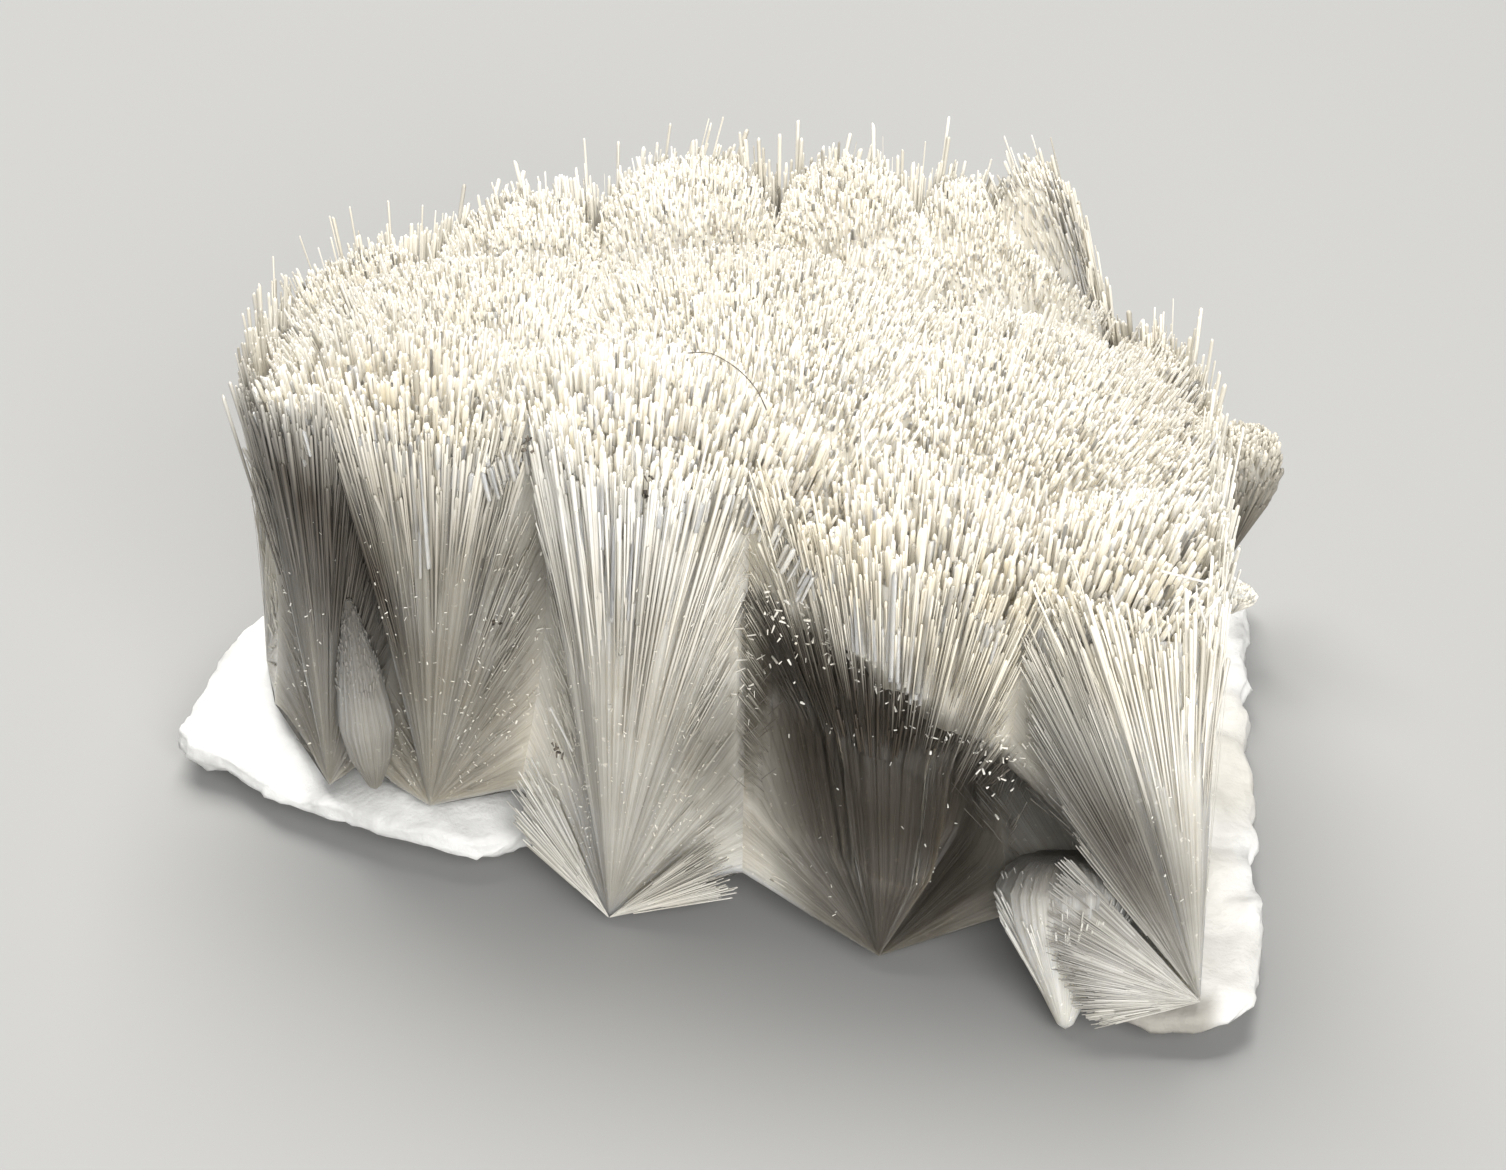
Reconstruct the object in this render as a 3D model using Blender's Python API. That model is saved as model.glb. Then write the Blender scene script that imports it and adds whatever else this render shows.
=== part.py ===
"""Artinite on matrix: sprays of needle crystals grown together into one carpet on a thin white plate.

Metres, +Z up. Every length in this file is written in millimetres and times MM. The specimen lies on
the flat underside of its matrix. It was broken off along its front, where the fans of needles are seen
from the side, each spreading upwards from one point on the matrix. The frame's origin is at the middle
of the footprint, on the surface that the matrix rests on.
"""

import math
import random

import bmesh
import bpy
from mathutils import Vector, geometry

MM = 0.001
rng = random.Random(20)

# Driving sizes, in millimetres. X runs to the right along the broken front, Y to the back. The outlines
# below are laid out from the specimen's left end, and main moves the whole to the frame's origin.
GAP = 0.3
SMOOTH_UNDER = math.radians(25)
MIDDLE = (-0.5, 13.0)

# The matrix: its thickness, the swell of its top, and its broken edge, which rises off the ground.
MATRIX_TOP = 1.9
MATRIX_SWELL = 0.28
DIP_CENTRE, DIP_REACH, DIP_DEPTH = (12.2, 0.0), 4.5, 0.85
EDGE_STEP, EDGE_RAGGED = 1.1, 0.16
EDGE_LIFT, EDGE_RISE_WIDTH = 0.7, 2.6
EDGE_DROP = (0.15, 0.45)
WAIST_INSET = (-0.25, 0.05)
FOOT_INSET = (0.35, 0.8)
TOP_PITCH, FLAT_PITCH = 1.7, 2.1

# The needle bundles: spikes on the carpet's top, and flutes down its sides.
SPIKE_PITCH = 0.57
SPIKE_LOW, SPIKE_HIGH = 0.45, 1.15
VALLEY = 0.30
RIM_SPIKE, RIM_NOTCH = 0.75, 0.35
RIM_STEP = 0.80
RIM_MARGIN = 0.45
FLUTE = 0.26
RAY_ROWS = (0.15, 0.31, 0.45, 0.58, 0.71, 0.86)
SEAM_STEPS = 5
FLOOR_PITCH, FLOOR_MARGIN = 2.0, 0.6
FLOOR_CLEAR = 0.1

# The hollow in the front: how far it goes in, over what length it fades out, and its lowest height.
CAVITY_DEPTH = 3.6
CAVITY_FADE = 0.9
CAVITY_FLOOR = 3.3

# The plate of white matrix, counter-clockwise from its left corner.
MATRIX_OUTLINE = [
    (-17.2, 13.4),
    (-16.0, 12.2),
    (-13.3, 10.1),
    (-10.3, 8.5),
    (-7.8, 7.7),
    (-5.8, 9.0),
    (-1.8, 8.6),
    (2.0, 7.4),
    (5.8, 6.0),
    (9.7, 4.3),
    (9.8, 0.8),
    (12.8, 0.4),
    (14.0, 3.8),
    (14.4, 9.0),
    (14.9, 15.0),
    (15.6, 20.0),
    (15.2, 22.6),
    (9.5, 23.6),
    (0.0, 24.0),
    (-9.0, 23.4),
    (-14.2, 21.6),
    (-16.2, 18.0),
]

# Each fan of the carpet's wall, counter-clockwise: where its needles start, the points in plan that its
# rim bulges through, the rim's point at the seam with the next fan, the notch at that seam's foot, and
# how deep the seam lies.
FANS = [
    ("far_left", (-12.3, 9.5, 2.3), [(-14.0, 10.9), (-12.9, 9.0)], (-11.3, 8.4), (-11.4, 10.2, 2.6), 1.5),
    ("left", (-9.3, 8.5, 2.3), [(-10.0, 7.3), (-7.6, 6.6)], (-5.9, 6.9), (-6.7, 8.5, 2.9), 0.9),
    ("centre", (-4.1, 6.0, 0.3), [(-4.4, 5.0), (-2.0, 4.4)], (0.0, 5.2), (-0.3, 6.3, 1.6), 0.7),
    ("mid_right", (3.5, 3.8, 0.6), [(2.0, 3.7), (4.8, 2.9)], (7.4, 2.7), (7.0, 3.5, 2.3), 0.6),
    ("right", (12.0, 0.5, 1.85), [(9.4, 1.9), (11.4, 2.2)], (12.2, 4.2), (12.4, 4.6, 2.4), 0.4),
    ("right_side", (12.4, 8.2, 2.3), [(12.5, 6.4), (12.8, 9.4)], (12.8, 11.8), (12.2, 12.2, 2.6), 0.6),
    ("right_back", (12.6, 14.8, 2.4), [(13.2, 13.6), (12.9, 16.2)], (12.0, 18.3), (13.0, 18.2, 2.6), 0.5),
    ("back_corner", (13.2, 20.6, 2.4), [(10.9, 19.6), (8.8, 20.9)], (7.4, 21.5), (8.2, 21.8, 3.0), 0.6),
    ("back_right", (4.2, 22.0, 2.3), [(5.9, 22.2), (4.4, 21.9)], (3.6, 21.9), (2.4, 21.2, 2.8), 0.6),
    ("back_middle", (0.6, 21.8, 2.3), [(2.2, 22.5), (0.9, 22.1)], (-0.4, 21.8), (-1.8, 21.2, 2.8), 0.6),
    ("back", (-4.6, 21.8, 2.3), [(-1.9, 22.4), (-4.6, 22.3)], (-7.2, 21.5), (-7.6, 20.8, 2.8), 0.7),
    ("back_left", (-10.8, 20.2, 2.3), [(-9.4, 21.8), (-12.0, 21.3)], (-14.0, 20.0), (-14.6, 18.6, 2.6), 0.6),
    ("left_side", (-14.9, 15.9, 2.3), [(-14.5, 17.6), (-14.4, 14.8)], (-14.1, 12.6), (-14.3, 13.2, 2.6), 0.4),
]

# The overhang's lip under the front layer of needles, from left to right: X and height.
LIP = [(-0.4, 11.4), (3.0, 10.2), (5.5, 8.2), (8.2, 6.3), (9.2, 4.6)]

# The lobes of the carpet's top: the middle in plan, the height there, the radius of curvature, and
# where the needles of that lobe start.
LOBES = [
    (-12.8, 12.0, 13.4, 6.0, (-12.3, 9.5, 2.3)),
    (-9.0, 9.5, 16.7, 7.0, (-9.3, 8.5, 2.3)),
    (-3.4, 8.0, 17.0, 8.0, (-4.1, 6.0, 0.3)),
    (3.0, 6.5, 14.9, 9.0, (3.5, 3.8, 0.6)),
    (9.2, 5.0, 14.0, 9.0, (6.6, 4.6, 2.0)),
    (10.6, 10.5, 13.3, 9.0, (6.4, 8.4, 2.2)),
    (10.4, 15.5, 12.9, 7.0, (6.8, 14.2, 2.2)),
    (8.2, 20.6, 16.9, 0.6, (13.2, 20.6, 2.4)),
    (5.6, 20.2, 16.3, 3.4, (6.5, 20.5, 2.4)),
    (2.8, 19.8, 16.9, 4.0, (2.9, 20.6, 2.4)),
    (-1.6, 19.8, 16.9, 4.6, (-1.8, 20.6, 2.4)),
    (-5.5, 19.5, 15.9, 6.0, (-5.8, 20.2, 2.4)),
    (-9.5, 19.0, 14.5, 6.5, (-10.2, 19.4, 2.4)),
    (-12.4, 17.6, 13.0, 6.0, (-12.8, 17.6, 2.4)),
    (-12.0, 14.5, 13.9, 7.0, (-12.6, 14.4, 2.4)),
    (-7.0, 14.0, 16.3, 9.0, (-7.2, 13.6, 2.2)),
    (-0.5, 13.0, 16.9, 10.0, (-0.6, 12.6, 2.2)),
    (5.5, 12.0, 15.5, 9.0, (4.6, 11.0, 2.2)),
]

SPRAY_FLUTE = 0.09
# A spray's outline: shares of its length, and its width there as a share of its radius.
SPRAY_RINGS = [(0.0, 0.08), (0.2, 0.34), (0.42, 0.66), (0.62, 0.90), (0.79, 1.0), (0.92, 0.82), (1.0, 0.45)]

# Sprays that stand by themselves: where they start, the middle of their top, their radius and how many
# needle bundles go round them.
FRONT_SPRAY = ((8.5, 1.05, 0.3), (8.5, 3.3, 4.7), 2.0, 16)
CLEFT_SPRAY = ((-10.9, 8.9, 2.45), (-11.3, 8.9, 9.2), 0.95, 10)
SIDE_TUFT = ((14.9, 20.9, 2.45), (15.45, 21.0, 7.3), 1.25, 14)
SMALL_TUFT = ((14.95, 18.6, 2.25), (15.3, 18.8, 3.1), 0.58, 9)


def catmull(p0, p1, p2, p3, t):
    """A point on the smooth curve between p1 and p2."""
    p0, p1, p2, p3 = (Vector(p) for p in (p0, p1, p2, p3))
    return 0.5 * (
        2 * p1
        + (p2 - p0) * t
        + (2 * p0 - 5 * p1 + 4 * p2 - p3) * t * t
        + (3 * p1 - p0 - 3 * p2 + p3) * t**3
    )


def top_at(x, y):
    """The carpet's top over (x, y): where the needles that reach it start, and its height."""
    start, height = None, -1.0
    for lobe_x, lobe_y, top, radius, apex in LOBES:
        here = top - ((x - lobe_x) ** 2 + (y - lobe_y) ** 2) / (2 * radius)
        if here > height:
            start, height = Vector(apex), here
    return start, height


def swell(x, y):
    """A gentle lumpiness in the matrix's top, which dips at the front right corner."""
    lumps = math.sin(0.62 * x + 0.4) * math.cos(0.55 * y) + 0.5 * math.sin(1.1 * x + 0.8 * y)
    away = math.hypot(x - DIP_CENTRE[0], y - DIP_CENTRE[1])
    return MATRIX_SWELL * lumps - DIP_DEPTH * max(0.0, 1.0 - away / DIP_REACH)


def inside(outline, x, y):
    """Whether (x, y) lies within a closed outline."""
    hit = False
    last = outline[-1]
    for point in outline:
        if (point[1] > y) != (last[1] > y):
            crossing = (last[0] - point[0]) * (y - point[1]) / (last[1] - point[1]) + point[0]
            if x < crossing:
                hit = not hit
        last = point
    return hit


def edge_distance(outline, x, y):
    """How far (x, y) is from the outline's nearest edge."""
    here = Vector((x, y))
    best = 1e9
    for i, point in enumerate(outline):
        a, b = Vector(outline[i - 1]), Vector(point)
        share = max(0.0, min(1.0, (here - a).dot(b - a) / (b - a).length_squared))
        best = min(best, (here - a.lerp(b, share)).length)
    return best


def grid(outline, pitch, inset, jitter):
    """Points of a triangular lattice inside an outline, with the lattice's own column and row numbers."""
    xs = [p[0] for p in outline]
    ys = [p[1] for p in outline]
    points = []
    row, y = 0, min(ys)
    while y < max(ys):
        column, x = 0, min(xs) + (0.5 * pitch if row % 2 else 0.0)
        while x < max(xs):
            px, py = x + rng.uniform(-jitter, jitter), y + rng.uniform(-jitter, jitter)
            if inside(outline, px, py) and edge_distance(outline, px, py) > inset:
                points.append((px, py, column, row))
            column, x = column + 1, x + pitch
        row, y = row + 1, y + pitch * math.sqrt(0.75)
    return points


def fill(outline, points):
    """Triangles over the outline and the points inside it, as indices into outline + points, facing up."""
    flat = [Vector(p[:2]) for p in outline] + [Vector(p[:2]) for p in points]
    edges = [(i, (i + 1) % len(outline)) for i in range(len(outline))]
    _, _, faces, origin, _, _ = geometry.delaunay_2d_cdt(flat, edges, [], 1, 1e-6)
    named = []
    for face in faces:
        a, b, c = (origin[i][0] for i in face)
        if (flat[b] - flat[a]).cross(flat[c] - flat[a]) < 0:
            b, c = c, b
        named.append((a, b, c))
    return named


def make_object(name, points, faces, material):
    """A closed mesh object from points in millimetres."""
    mesh = bpy.data.meshes.new(name)
    mesh.from_pydata([Vector(p) * MM for p in points], [], faces)
    work = bmesh.new()
    work.from_mesh(mesh)
    bmesh.ops.remove_doubles(work, verts=work.verts, dist=1e-7)
    bmesh.ops.recalc_face_normals(work, faces=work.faces)
    work.to_mesh(mesh)
    work.free()
    obj = bpy.data.objects.new(name, mesh)
    bpy.context.scene.collection.objects.link(obj)
    mesh.materials.append(material)
    mesh.shade_smooth()
    mesh.set_sharp_from_angle(angle=SMOOTH_UNDER)
    return obj


def make_material(name, colour, roughness):
    """A plain material of one colour."""
    material = bpy.data.materials.new(name)
    material.use_nodes = True
    shader = material.node_tree.nodes["Principled BSDF"]
    shader.inputs["Base Color"].default_value = (*colour, 1.0)
    shader.inputs["Roughness"].default_value = roughness
    shader.inputs["Metallic"].default_value = 0.0
    return material


def ragged(outline, step, depth):
    """The outline with points every step or so, each pushed in or out a little, as a broken edge is."""
    made = []
    for i, point in enumerate(outline):
        end = outline[(i + 1) % len(outline)]
        before, after = outline[i - 1], outline[(i + 2) % len(outline)]
        count = max(1, round((Vector(end) - Vector(point)).length / step))
        for k in range(count):
            here = catmull(before, point, end, after, k / count)
            along = Vector(end) - Vector(point)
            out = Vector((along.y, -along.x)).normalized()
            made.append(here + out * rng.uniform(-depth, depth))
    return made


def make_matrix(material):
    """A thin broken plate: a lumpy top, a ragged edge, and a flat underside that rises at its edge."""
    outline = ragged(MATRIX_OUTLINE, EDGE_STEP, EDGE_RAGGED)
    count = len(outline)
    points, faces = [], []
    middle = Vector(MIDDLE)
    foot, waist, top_edge = [], [], []
    for p in outline:
        inward = (middle - p).normalized()
        top = MATRIX_TOP + swell(p.x, p.y) - rng.uniform(*EDGE_DROP)
        a = p + inward * rng.uniform(*WAIST_INSET)
        b = p + inward * rng.uniform(*FOOT_INSET)
        top_edge.append((p.x, p.y, top))
        waist.append((a.x, a.y, 0.5 * (EDGE_LIFT + top) + rng.uniform(-0.15, 0.15)))
        foot.append((b.x, b.y, EDGE_LIFT + rng.uniform(-0.2, 0.25)))
    for ring in (foot, waist, top_edge):
        points.extend(ring)
    for level in (0, count):
        for i in range(count):
            j = (i + 1) % count
            faces.append((level + i, level + j, level + count + j, level + count + i))

    top_inner = grid([p[:2] for p in top_edge], TOP_PITCH, 0.7, 0.35)
    start = len(points)
    points.extend((x, y, MATRIX_TOP + swell(x, y)) for x, y, _, _ in top_inner)
    names = [2 * count + i for i in range(count)] + [start + i for i in range(len(top_inner))]
    faces.extend(tuple(names[i] for i in face) for face in fill(top_edge, top_inner))

    low_inner = grid([p[:2] for p in foot], FLAT_PITCH, 0.8, 0.3)
    start = len(points)
    for x, y, _, _ in low_inner:
        rise = max(0.0, 1.0 - edge_distance(MATRIX_OUTLINE, x, y) / EDGE_RISE_WIDTH)
        points.append((x, y, EDGE_LIFT * rise))
    names = list(range(count)) + [start + i for i in range(len(low_inner))]
    faces.extend(tuple(names[i] for i in reversed(face)) for face in fill(foot, low_inner))
    return make_object("matrix", points, faces, material)


def rim_of(index):
    """The rim of one fan from its seam with the fan before to its seam with the next, as points in plan."""
    before = FANS[index - 1]
    after = FANS[(index + 1) % len(FANS)]
    controls = [before[3], *FANS[index][2], FANS[index][3]]
    padded = [before[2][-1], *controls, after[2][0]]
    rim = []
    for i in range(len(controls) - 1):
        length = (Vector(controls[i + 1]) - Vector(controls[i])).length
        count = max(2, round(length / RIM_STEP))
        rim.extend(catmull(*padded[i : i + 4], k / count) for k in range(count))
    return rim


def seam_line(index):
    """The points of the seam after a fan, from just under its rim point down to its notch."""
    x, y = FANS[index][3]
    notch, recess = Vector(FANS[index][4]), FANS[index][5]
    top = Vector((x, y, top_at(x, y)[1] - RIM_NOTCH))
    inward = (Vector(MIDDLE) - Vector((x, y))).normalized().to_3d()
    line = []
    for k in range(1, SEAM_STEPS):
        share = k / SEAM_STEPS
        place = top.lerp(notch, share) + inward * recess * math.sin(math.pi * share)
        if place.y < MIDDLE[1]:
            place.y += hollow(place.x, place.z)
        line.append(place)
    return line + [notch]


def ease(value):
    """0 below zero, 1 above one, and a smooth rise between."""
    value = max(0.0, min(1.0, value))
    return value * value * (3 - 2 * value)


def hollow(x, z):
    """How far the front is worn back at (x, z), under the lip where the front layer of needles breaks off."""
    lip = LIP[-1][1]
    for (x0, z0), (x1, z1) in zip(LIP, LIP[1:]):
        if x < x1:
            lip = z0 + (z1 - z0) * max(0.0, x - x0) / (x1 - x0)
            break
    sides = ease((x - LIP[0][0]) / CAVITY_FADE) * ease((LIP[-1][0] - x) / CAVITY_FADE)
    return CAVITY_DEPTH * sides * ease((lip - z) / CAVITY_FADE) * ease((z - CAVITY_FLOOR) / (2 * CAVITY_FADE))


def make_carpet(material):
    """The crystals as one body: fluted fans round the side, a spiky top, and a bottom over the matrix."""
    points, faces = [], []

    def add(point):
        points.append(Vector(point))
        return len(points) - 1

    count = len(FANS)
    seams = []
    for i in range(count):
        x, y = FANS[i][3]
        seam_top = add((x, y, top_at(x, y)[1] - RIM_NOTCH))
        seams.append([seam_top] + [add(p) for p in seam_line(i)])

    rim_loop, foot_loop = [], []
    for i in range(count):
        apex = Vector(FANS[i][1])
        left, right = seams[i - 1], seams[i]
        start = add(apex)
        rim, bases = [left[0]], [points[left[0]]]
        for k, p in enumerate(rim_of(i)[1:], 1):
            base = Vector((p.x, p.y, top_at(p.x, p.y)[1]))
            lift = RIM_SPIKE * rng.uniform(0.5, 1.3) if k % 2 == 1 else -RIM_NOTCH
            rim.append(add(base + (base - apex).normalized() * lift))
            bases.append(base)
        rim_loop.extend(rim)
        ends = list(reversed(left[1:])) + rim + right
        smooth = [points[n] for n in reversed(left[1:])] + bases + [points[n] for n in right]
        last = len(ends) - 1
        rays = []
        for k, end in enumerate(ends):
            side = smooth[min(k + 1, last)] - smooth[max(k - 1, 0)]
            out = side.cross(smooth[k] - apex).normalized()
            ridge = 1 if (k - len(left[1:])) % 2 == 1 else -1
            ray = []
            for share in RAY_ROWS:
                push = 0.0 if k in (0, last) else FLUTE * ridge * rng.uniform(0.5, 1.4) * share
                place = apex + (points[end] - apex) * share + out * push
                if place.y < MIDDLE[1] and k not in (0, last):
                    place.y += hollow(place.x, place.z)
                ray.append(add(place))
            rays.append(ray + [end])
        for a, b in zip(rays, rays[1:]):
            faces.append((start, b[0], a[0]))
            for k in range(len(RAY_ROWS)):
                faces.append((a[k], b[k], b[k + 1], a[k + 1]))
        foot_loop.extend(reversed(rays[0]))
        foot_loop.append(start)
        foot_loop.extend(rays[-1][:-1])

    top_outline = [points[i].xy for i in rim_loop]
    lattice = grid(top_outline, SPIKE_PITCH, RIM_MARGIN, 0.05)
    inner = []
    for x, y, column, row in lattice:
        start, height = top_at(x, y)
        base = Vector((x, y, height))
        tip = (column + 2 * (row % 2) + (row // 2)) % 3 == 0
        lift = rng.uniform(SPIKE_LOW, SPIKE_HIGH) if tip else -VALLEY * rng.uniform(0.6, 1.4)
        inner.append(add(base + (base - start).normalized() * lift))
    names = rim_loop + inner
    faces.extend(tuple(names[i] for i in face) for face in fill(top_outline, lattice))

    foot_outline = [points[i].xy for i in foot_loop]
    floor = grid(foot_outline, FLOOR_PITCH, FLOOR_MARGIN, 0.2)
    under = [add((x, y, MATRIX_TOP + swell(x, y) + GAP + FLOOR_CLEAR)) for x, y, _, _ in floor]
    names = foot_loop + under
    faces.extend(tuple(names[i] for i in reversed(face)) for face in fill(foot_outline, floor))
    return make_object("artinite_sprays", points, faces, material)


def make_spray(name, start, top, radius, bundles, material):
    """A fluted cone of needles that spreads from one point to a spiky domed top."""
    start, top = Vector(start), Vector(top)
    axis = top - start
    across = axis.cross(Vector((0, 1, 0))).normalized()
    up = across.cross(axis).normalized()
    rings = SPRAY_RINGS
    points, faces = [start - axis * 0.02], []
    around = 2 * bundles
    for level, (share, width) in enumerate(rings):
        for k in range(around):
            angle = 2 * math.pi * (k + 0.5 * (level % 2)) / around
            ridge = 1 if k % 2 else -1
            out = across * math.cos(angle) + up * math.sin(angle)
            shown = 0.25 + 0.75 * max(0.0, -out.y)
            reach = radius * width * (1 + SPRAY_FLUTE * shown * ridge * rng.uniform(0.5, 1.5))
            spike = radius * 0.28 * rng.uniform(0.3, 1.0) if share > 0.8 and k % 2 else 0.0
            points.append(start + axis * share + out * reach + (axis.normalized() + out * 0.4) * spike)
    points.append(top + axis.normalized() * radius * 0.35)
    crown = len(points) - 1
    for k in range(around):
        j = (k + 1) % around
        faces.append((0, 1 + j, 1 + k))
        for level in range(len(rings) - 1):
            low, high = 1 + level * around, 1 + (level + 1) * around
            faces.append((low + k, low + j, high + j, high + k))
        high = 1 + (len(rings) - 1) * around
        faces.append((high + k, high + j, crown))
    return make_object(name, points, faces, material)


def unite(body, other):
    """Joins another closed shape to the body, and leaves the other out."""
    join = body.modifiers.new("with_" + other.name, "BOOLEAN")
    join.operation = "UNION"
    join.object = other
    other.hide_render = True
    other.display_type = "WIRE"


def centre(pieces):
    """Moves every piece so that the frame's origin is at the middle of the footprint, under the matrix."""
    corners = [v.co for piece in pieces for v in piece.data.vertices]
    low = Vector(min(c[i] for c in corners) for i in range(3))
    high = Vector(max(c[i] for c in corners) for i in range(3))
    shift = Vector((-(low.x + high.x) / 2, -(low.y + high.y) / 2, -low.z))
    for piece in pieces:
        for vertex in piece.data.vertices:
            vertex.co += shift
    return shift / MM


def main():
    for obj in list(bpy.data.objects):
        bpy.data.objects.remove(obj)
    white = make_material("matrix_white", (0.90, 0.90, 0.87), 0.75)
    cream = make_material("artinite_needles", (0.84, 0.80, 0.70), 0.45)
    carpet = make_carpet(cream)
    front = make_spray("front_spray", *FRONT_SPRAY, cream)
    cleft = make_spray("cleft_spray", *CLEFT_SPRAY, cream)
    unite(carpet, front)
    unite(carpet, cleft)
    side = make_spray("side_tuft", *SIDE_TUFT, cream)
    small = make_spray("small_tuft", *SMALL_TUFT, cream)
    return centre([make_matrix(white), carpet, side, small, front, cleft])


SHIFT = main()
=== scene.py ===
"""Artinite on matrix: the needles, the white matrix and their materials, round the fixed solids."""

import math
from collections import namedtuple

import bmesh
import bpy
import numpy as np
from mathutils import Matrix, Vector, geometry, noise


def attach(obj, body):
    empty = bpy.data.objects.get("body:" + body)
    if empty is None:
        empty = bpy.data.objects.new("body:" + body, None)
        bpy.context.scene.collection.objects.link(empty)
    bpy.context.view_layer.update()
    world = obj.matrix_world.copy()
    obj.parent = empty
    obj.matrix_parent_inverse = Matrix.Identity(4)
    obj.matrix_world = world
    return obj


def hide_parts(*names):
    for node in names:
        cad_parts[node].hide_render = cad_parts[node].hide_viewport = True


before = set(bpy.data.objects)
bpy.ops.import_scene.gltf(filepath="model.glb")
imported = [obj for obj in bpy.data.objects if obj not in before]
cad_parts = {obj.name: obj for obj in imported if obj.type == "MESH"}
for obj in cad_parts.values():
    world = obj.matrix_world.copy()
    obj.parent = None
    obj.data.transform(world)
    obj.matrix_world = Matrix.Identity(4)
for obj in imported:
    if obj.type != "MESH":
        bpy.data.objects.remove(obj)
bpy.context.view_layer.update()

MM = 0.001
rng = np.random.default_rng(20)

# Places and lengths are in millimetres from the specimen's left end. SHIFT moves them to the frame.
SHIFT = np.array([0.35706, -12.23141, 0.0])
MIDDLE = np.array([-0.5, 13.0])

# The hollow worn into the front: its upper edge as X and height, how deep it is, how softly it starts and
# where it ends below. Its painted shade starts LIP_SHADOW above the lip and takes CAVITY_DARK of the
# brightness where it is deepest.
LIP = [(-0.4, 11.4), (3.0, 10.2), (5.5, 8.2), (8.2, 6.3), (9.2, 4.6)]
CAVITY_DEPTH, CAVITY_FADE, CAVITY_FLOOR = 3.6, 0.9, 3.3
LIP_SHADOW, CAVITY_DARK = 0.7, 0.9

# A fan of the wall: where its needles start, the bulge of its rim, the rim's point at the seam with the
# next fan, the notch at that seam's foot, how deep the seam lies, how bright the fan is at the shares
# of FAN_SHADES_AT from foot to rim, its own tone with painted shade, and how warm its colour is. They go
# round from the front's left end.
FAN_SHADES_AT = (0.0, 0.45, 0.75, 1.0)
Fan = namedtuple("Fan", "apex bulge seam notch recess shades warmth")
FANS = [
    Fan((-12.3, 9.5, 2.3), [(-14.0, 10.9), (-12.9, 9.0)], (-11.3, 8.4), (-11.4, 10.2, 2.6), 1.5,
        (0.42, 0.3, 0.34, 0.78), 0.4),
    Fan((-9.3, 8.5, 2.3), [(-10.0, 7.3), (-7.6, 6.6)], (-5.9, 6.9), (-6.7, 8.5, 2.9), 0.9,
        (0.54, 0.46, 0.62, 0.95), 0.75),
    Fan((-4.1, 6.0, 0.3), [(-4.4, 5.0), (-2.0, 4.4)], (0.0, 5.2), (-0.3, 6.3, 1.6), 0.7,
        (0.62, 0.68, 0.9, 1.0), 0.2),
    Fan((3.5, 3.8, 0.6), [(2.0, 3.7), (4.8, 2.9)], (7.4, 2.7), (7.0, 3.5, 2.3), 0.6,
        (0.12, 0.34, 1.0, 1.0), 0.9),
    Fan((12.0, 0.5, 1.85), [(9.4, 1.9), (11.4, 2.2)], (12.2, 4.2), (12.4, 4.6, 2.4), 0.4,
        (0.72, 0.7, 1.0, 1.0), 0.5),
    Fan((12.4, 8.2, 2.3), [(12.5, 6.4), (12.8, 9.4)], (12.8, 11.8), (12.2, 12.2, 2.6), 0.6,
        (0.6, 0.7, 0.8, 0.9), 0.4),
    Fan((12.6, 14.8, 2.4), [(13.2, 13.6), (12.9, 16.2)], (12.0, 18.3), (13.0, 18.2, 2.6), 0.5,
        (0.6, 0.62, 0.76, 0.9), 0.5),
    Fan((13.2, 20.6, 2.4), [(10.9, 19.6), (8.8, 20.9)], (7.4, 21.5), (8.2, 21.8, 3.0), 0.6,
        (0.55, 0.6, 0.75, 0.9), 0.4),
    Fan((4.2, 22.0, 2.3), [(5.9, 22.2), (4.4, 21.9)], (3.6, 21.9), (2.4, 21.2, 2.8), 0.6,
        (0.55, 0.58, 0.73, 0.88), 0.5),
    Fan((0.6, 21.8, 2.3), [(2.2, 22.5), (0.9, 22.1)], (-0.4, 21.8), (-1.8, 21.2, 2.8), 0.6,
        (0.6, 0.62, 0.76, 0.9), 0.4),
    Fan((-4.6, 21.8, 2.3), [(-1.9, 22.4), (-4.6, 22.3)], (-7.2, 21.5), (-7.6, 20.8, 2.8), 0.7,
        (0.55, 0.6, 0.74, 0.88), 0.5),
    Fan((-10.8, 20.2, 2.3), [(-9.4, 21.8), (-12.0, 21.3)], (-14.0, 20.0), (-14.6, 18.6, 2.6), 0.6,
        (0.6, 0.64, 0.77, 0.9), 0.4),
    Fan((-14.9, 15.9, 2.3), [(-14.5, 17.6), (-14.4, 14.8)], (-14.1, 12.6), (-14.3, 13.2, 2.6), 0.4,
        (0.6, 0.62, 0.74, 0.86), 0.5),
]
FRONT_FANS, LEFT_FANS, HOLLOW_FANS = range(5), range(3), (2, 3, 4)

# Painted shadows on the front, mostly in its clefts, seams and hollow: X and height, reach across and up, how
# far the place leans to the right going down, and how much it darkens.
PAINTED_SHADOWS = [
    (-12.2, 12.6, 0.95, 2.8, 0.5, 0.99),
    (-11.6, 9.0, 0.9, 3.2, 0.3, 0.85),
    (-10.4, 10.0, 0.8, 3.4, 0.22, 0.97),
    (-13.4, 10.0, 0.9, 2.4, 0.0, 0.45),
    (-5.8, 10.6, 0.7, 2.2, 0.0, 0.4),
    (-6.6, 7.6, 1.9, 2.2, 0.1, 0.22),
    (-0.9, 5.6, 1.0, 2.6, 0.0, 0.35),
    (2.0, 5.0, 2.7, 3.3, 0.0, 0.92),
    (5.6, 3.2, 3.0, 3.4, 0.0, 0.95),
    (9.6, 6.3, 1.3, 2.4, 0.5, 0.97),
    (7.7, 8.6, 0.8, 2.4, 0.0, 0.32),
]

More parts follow.
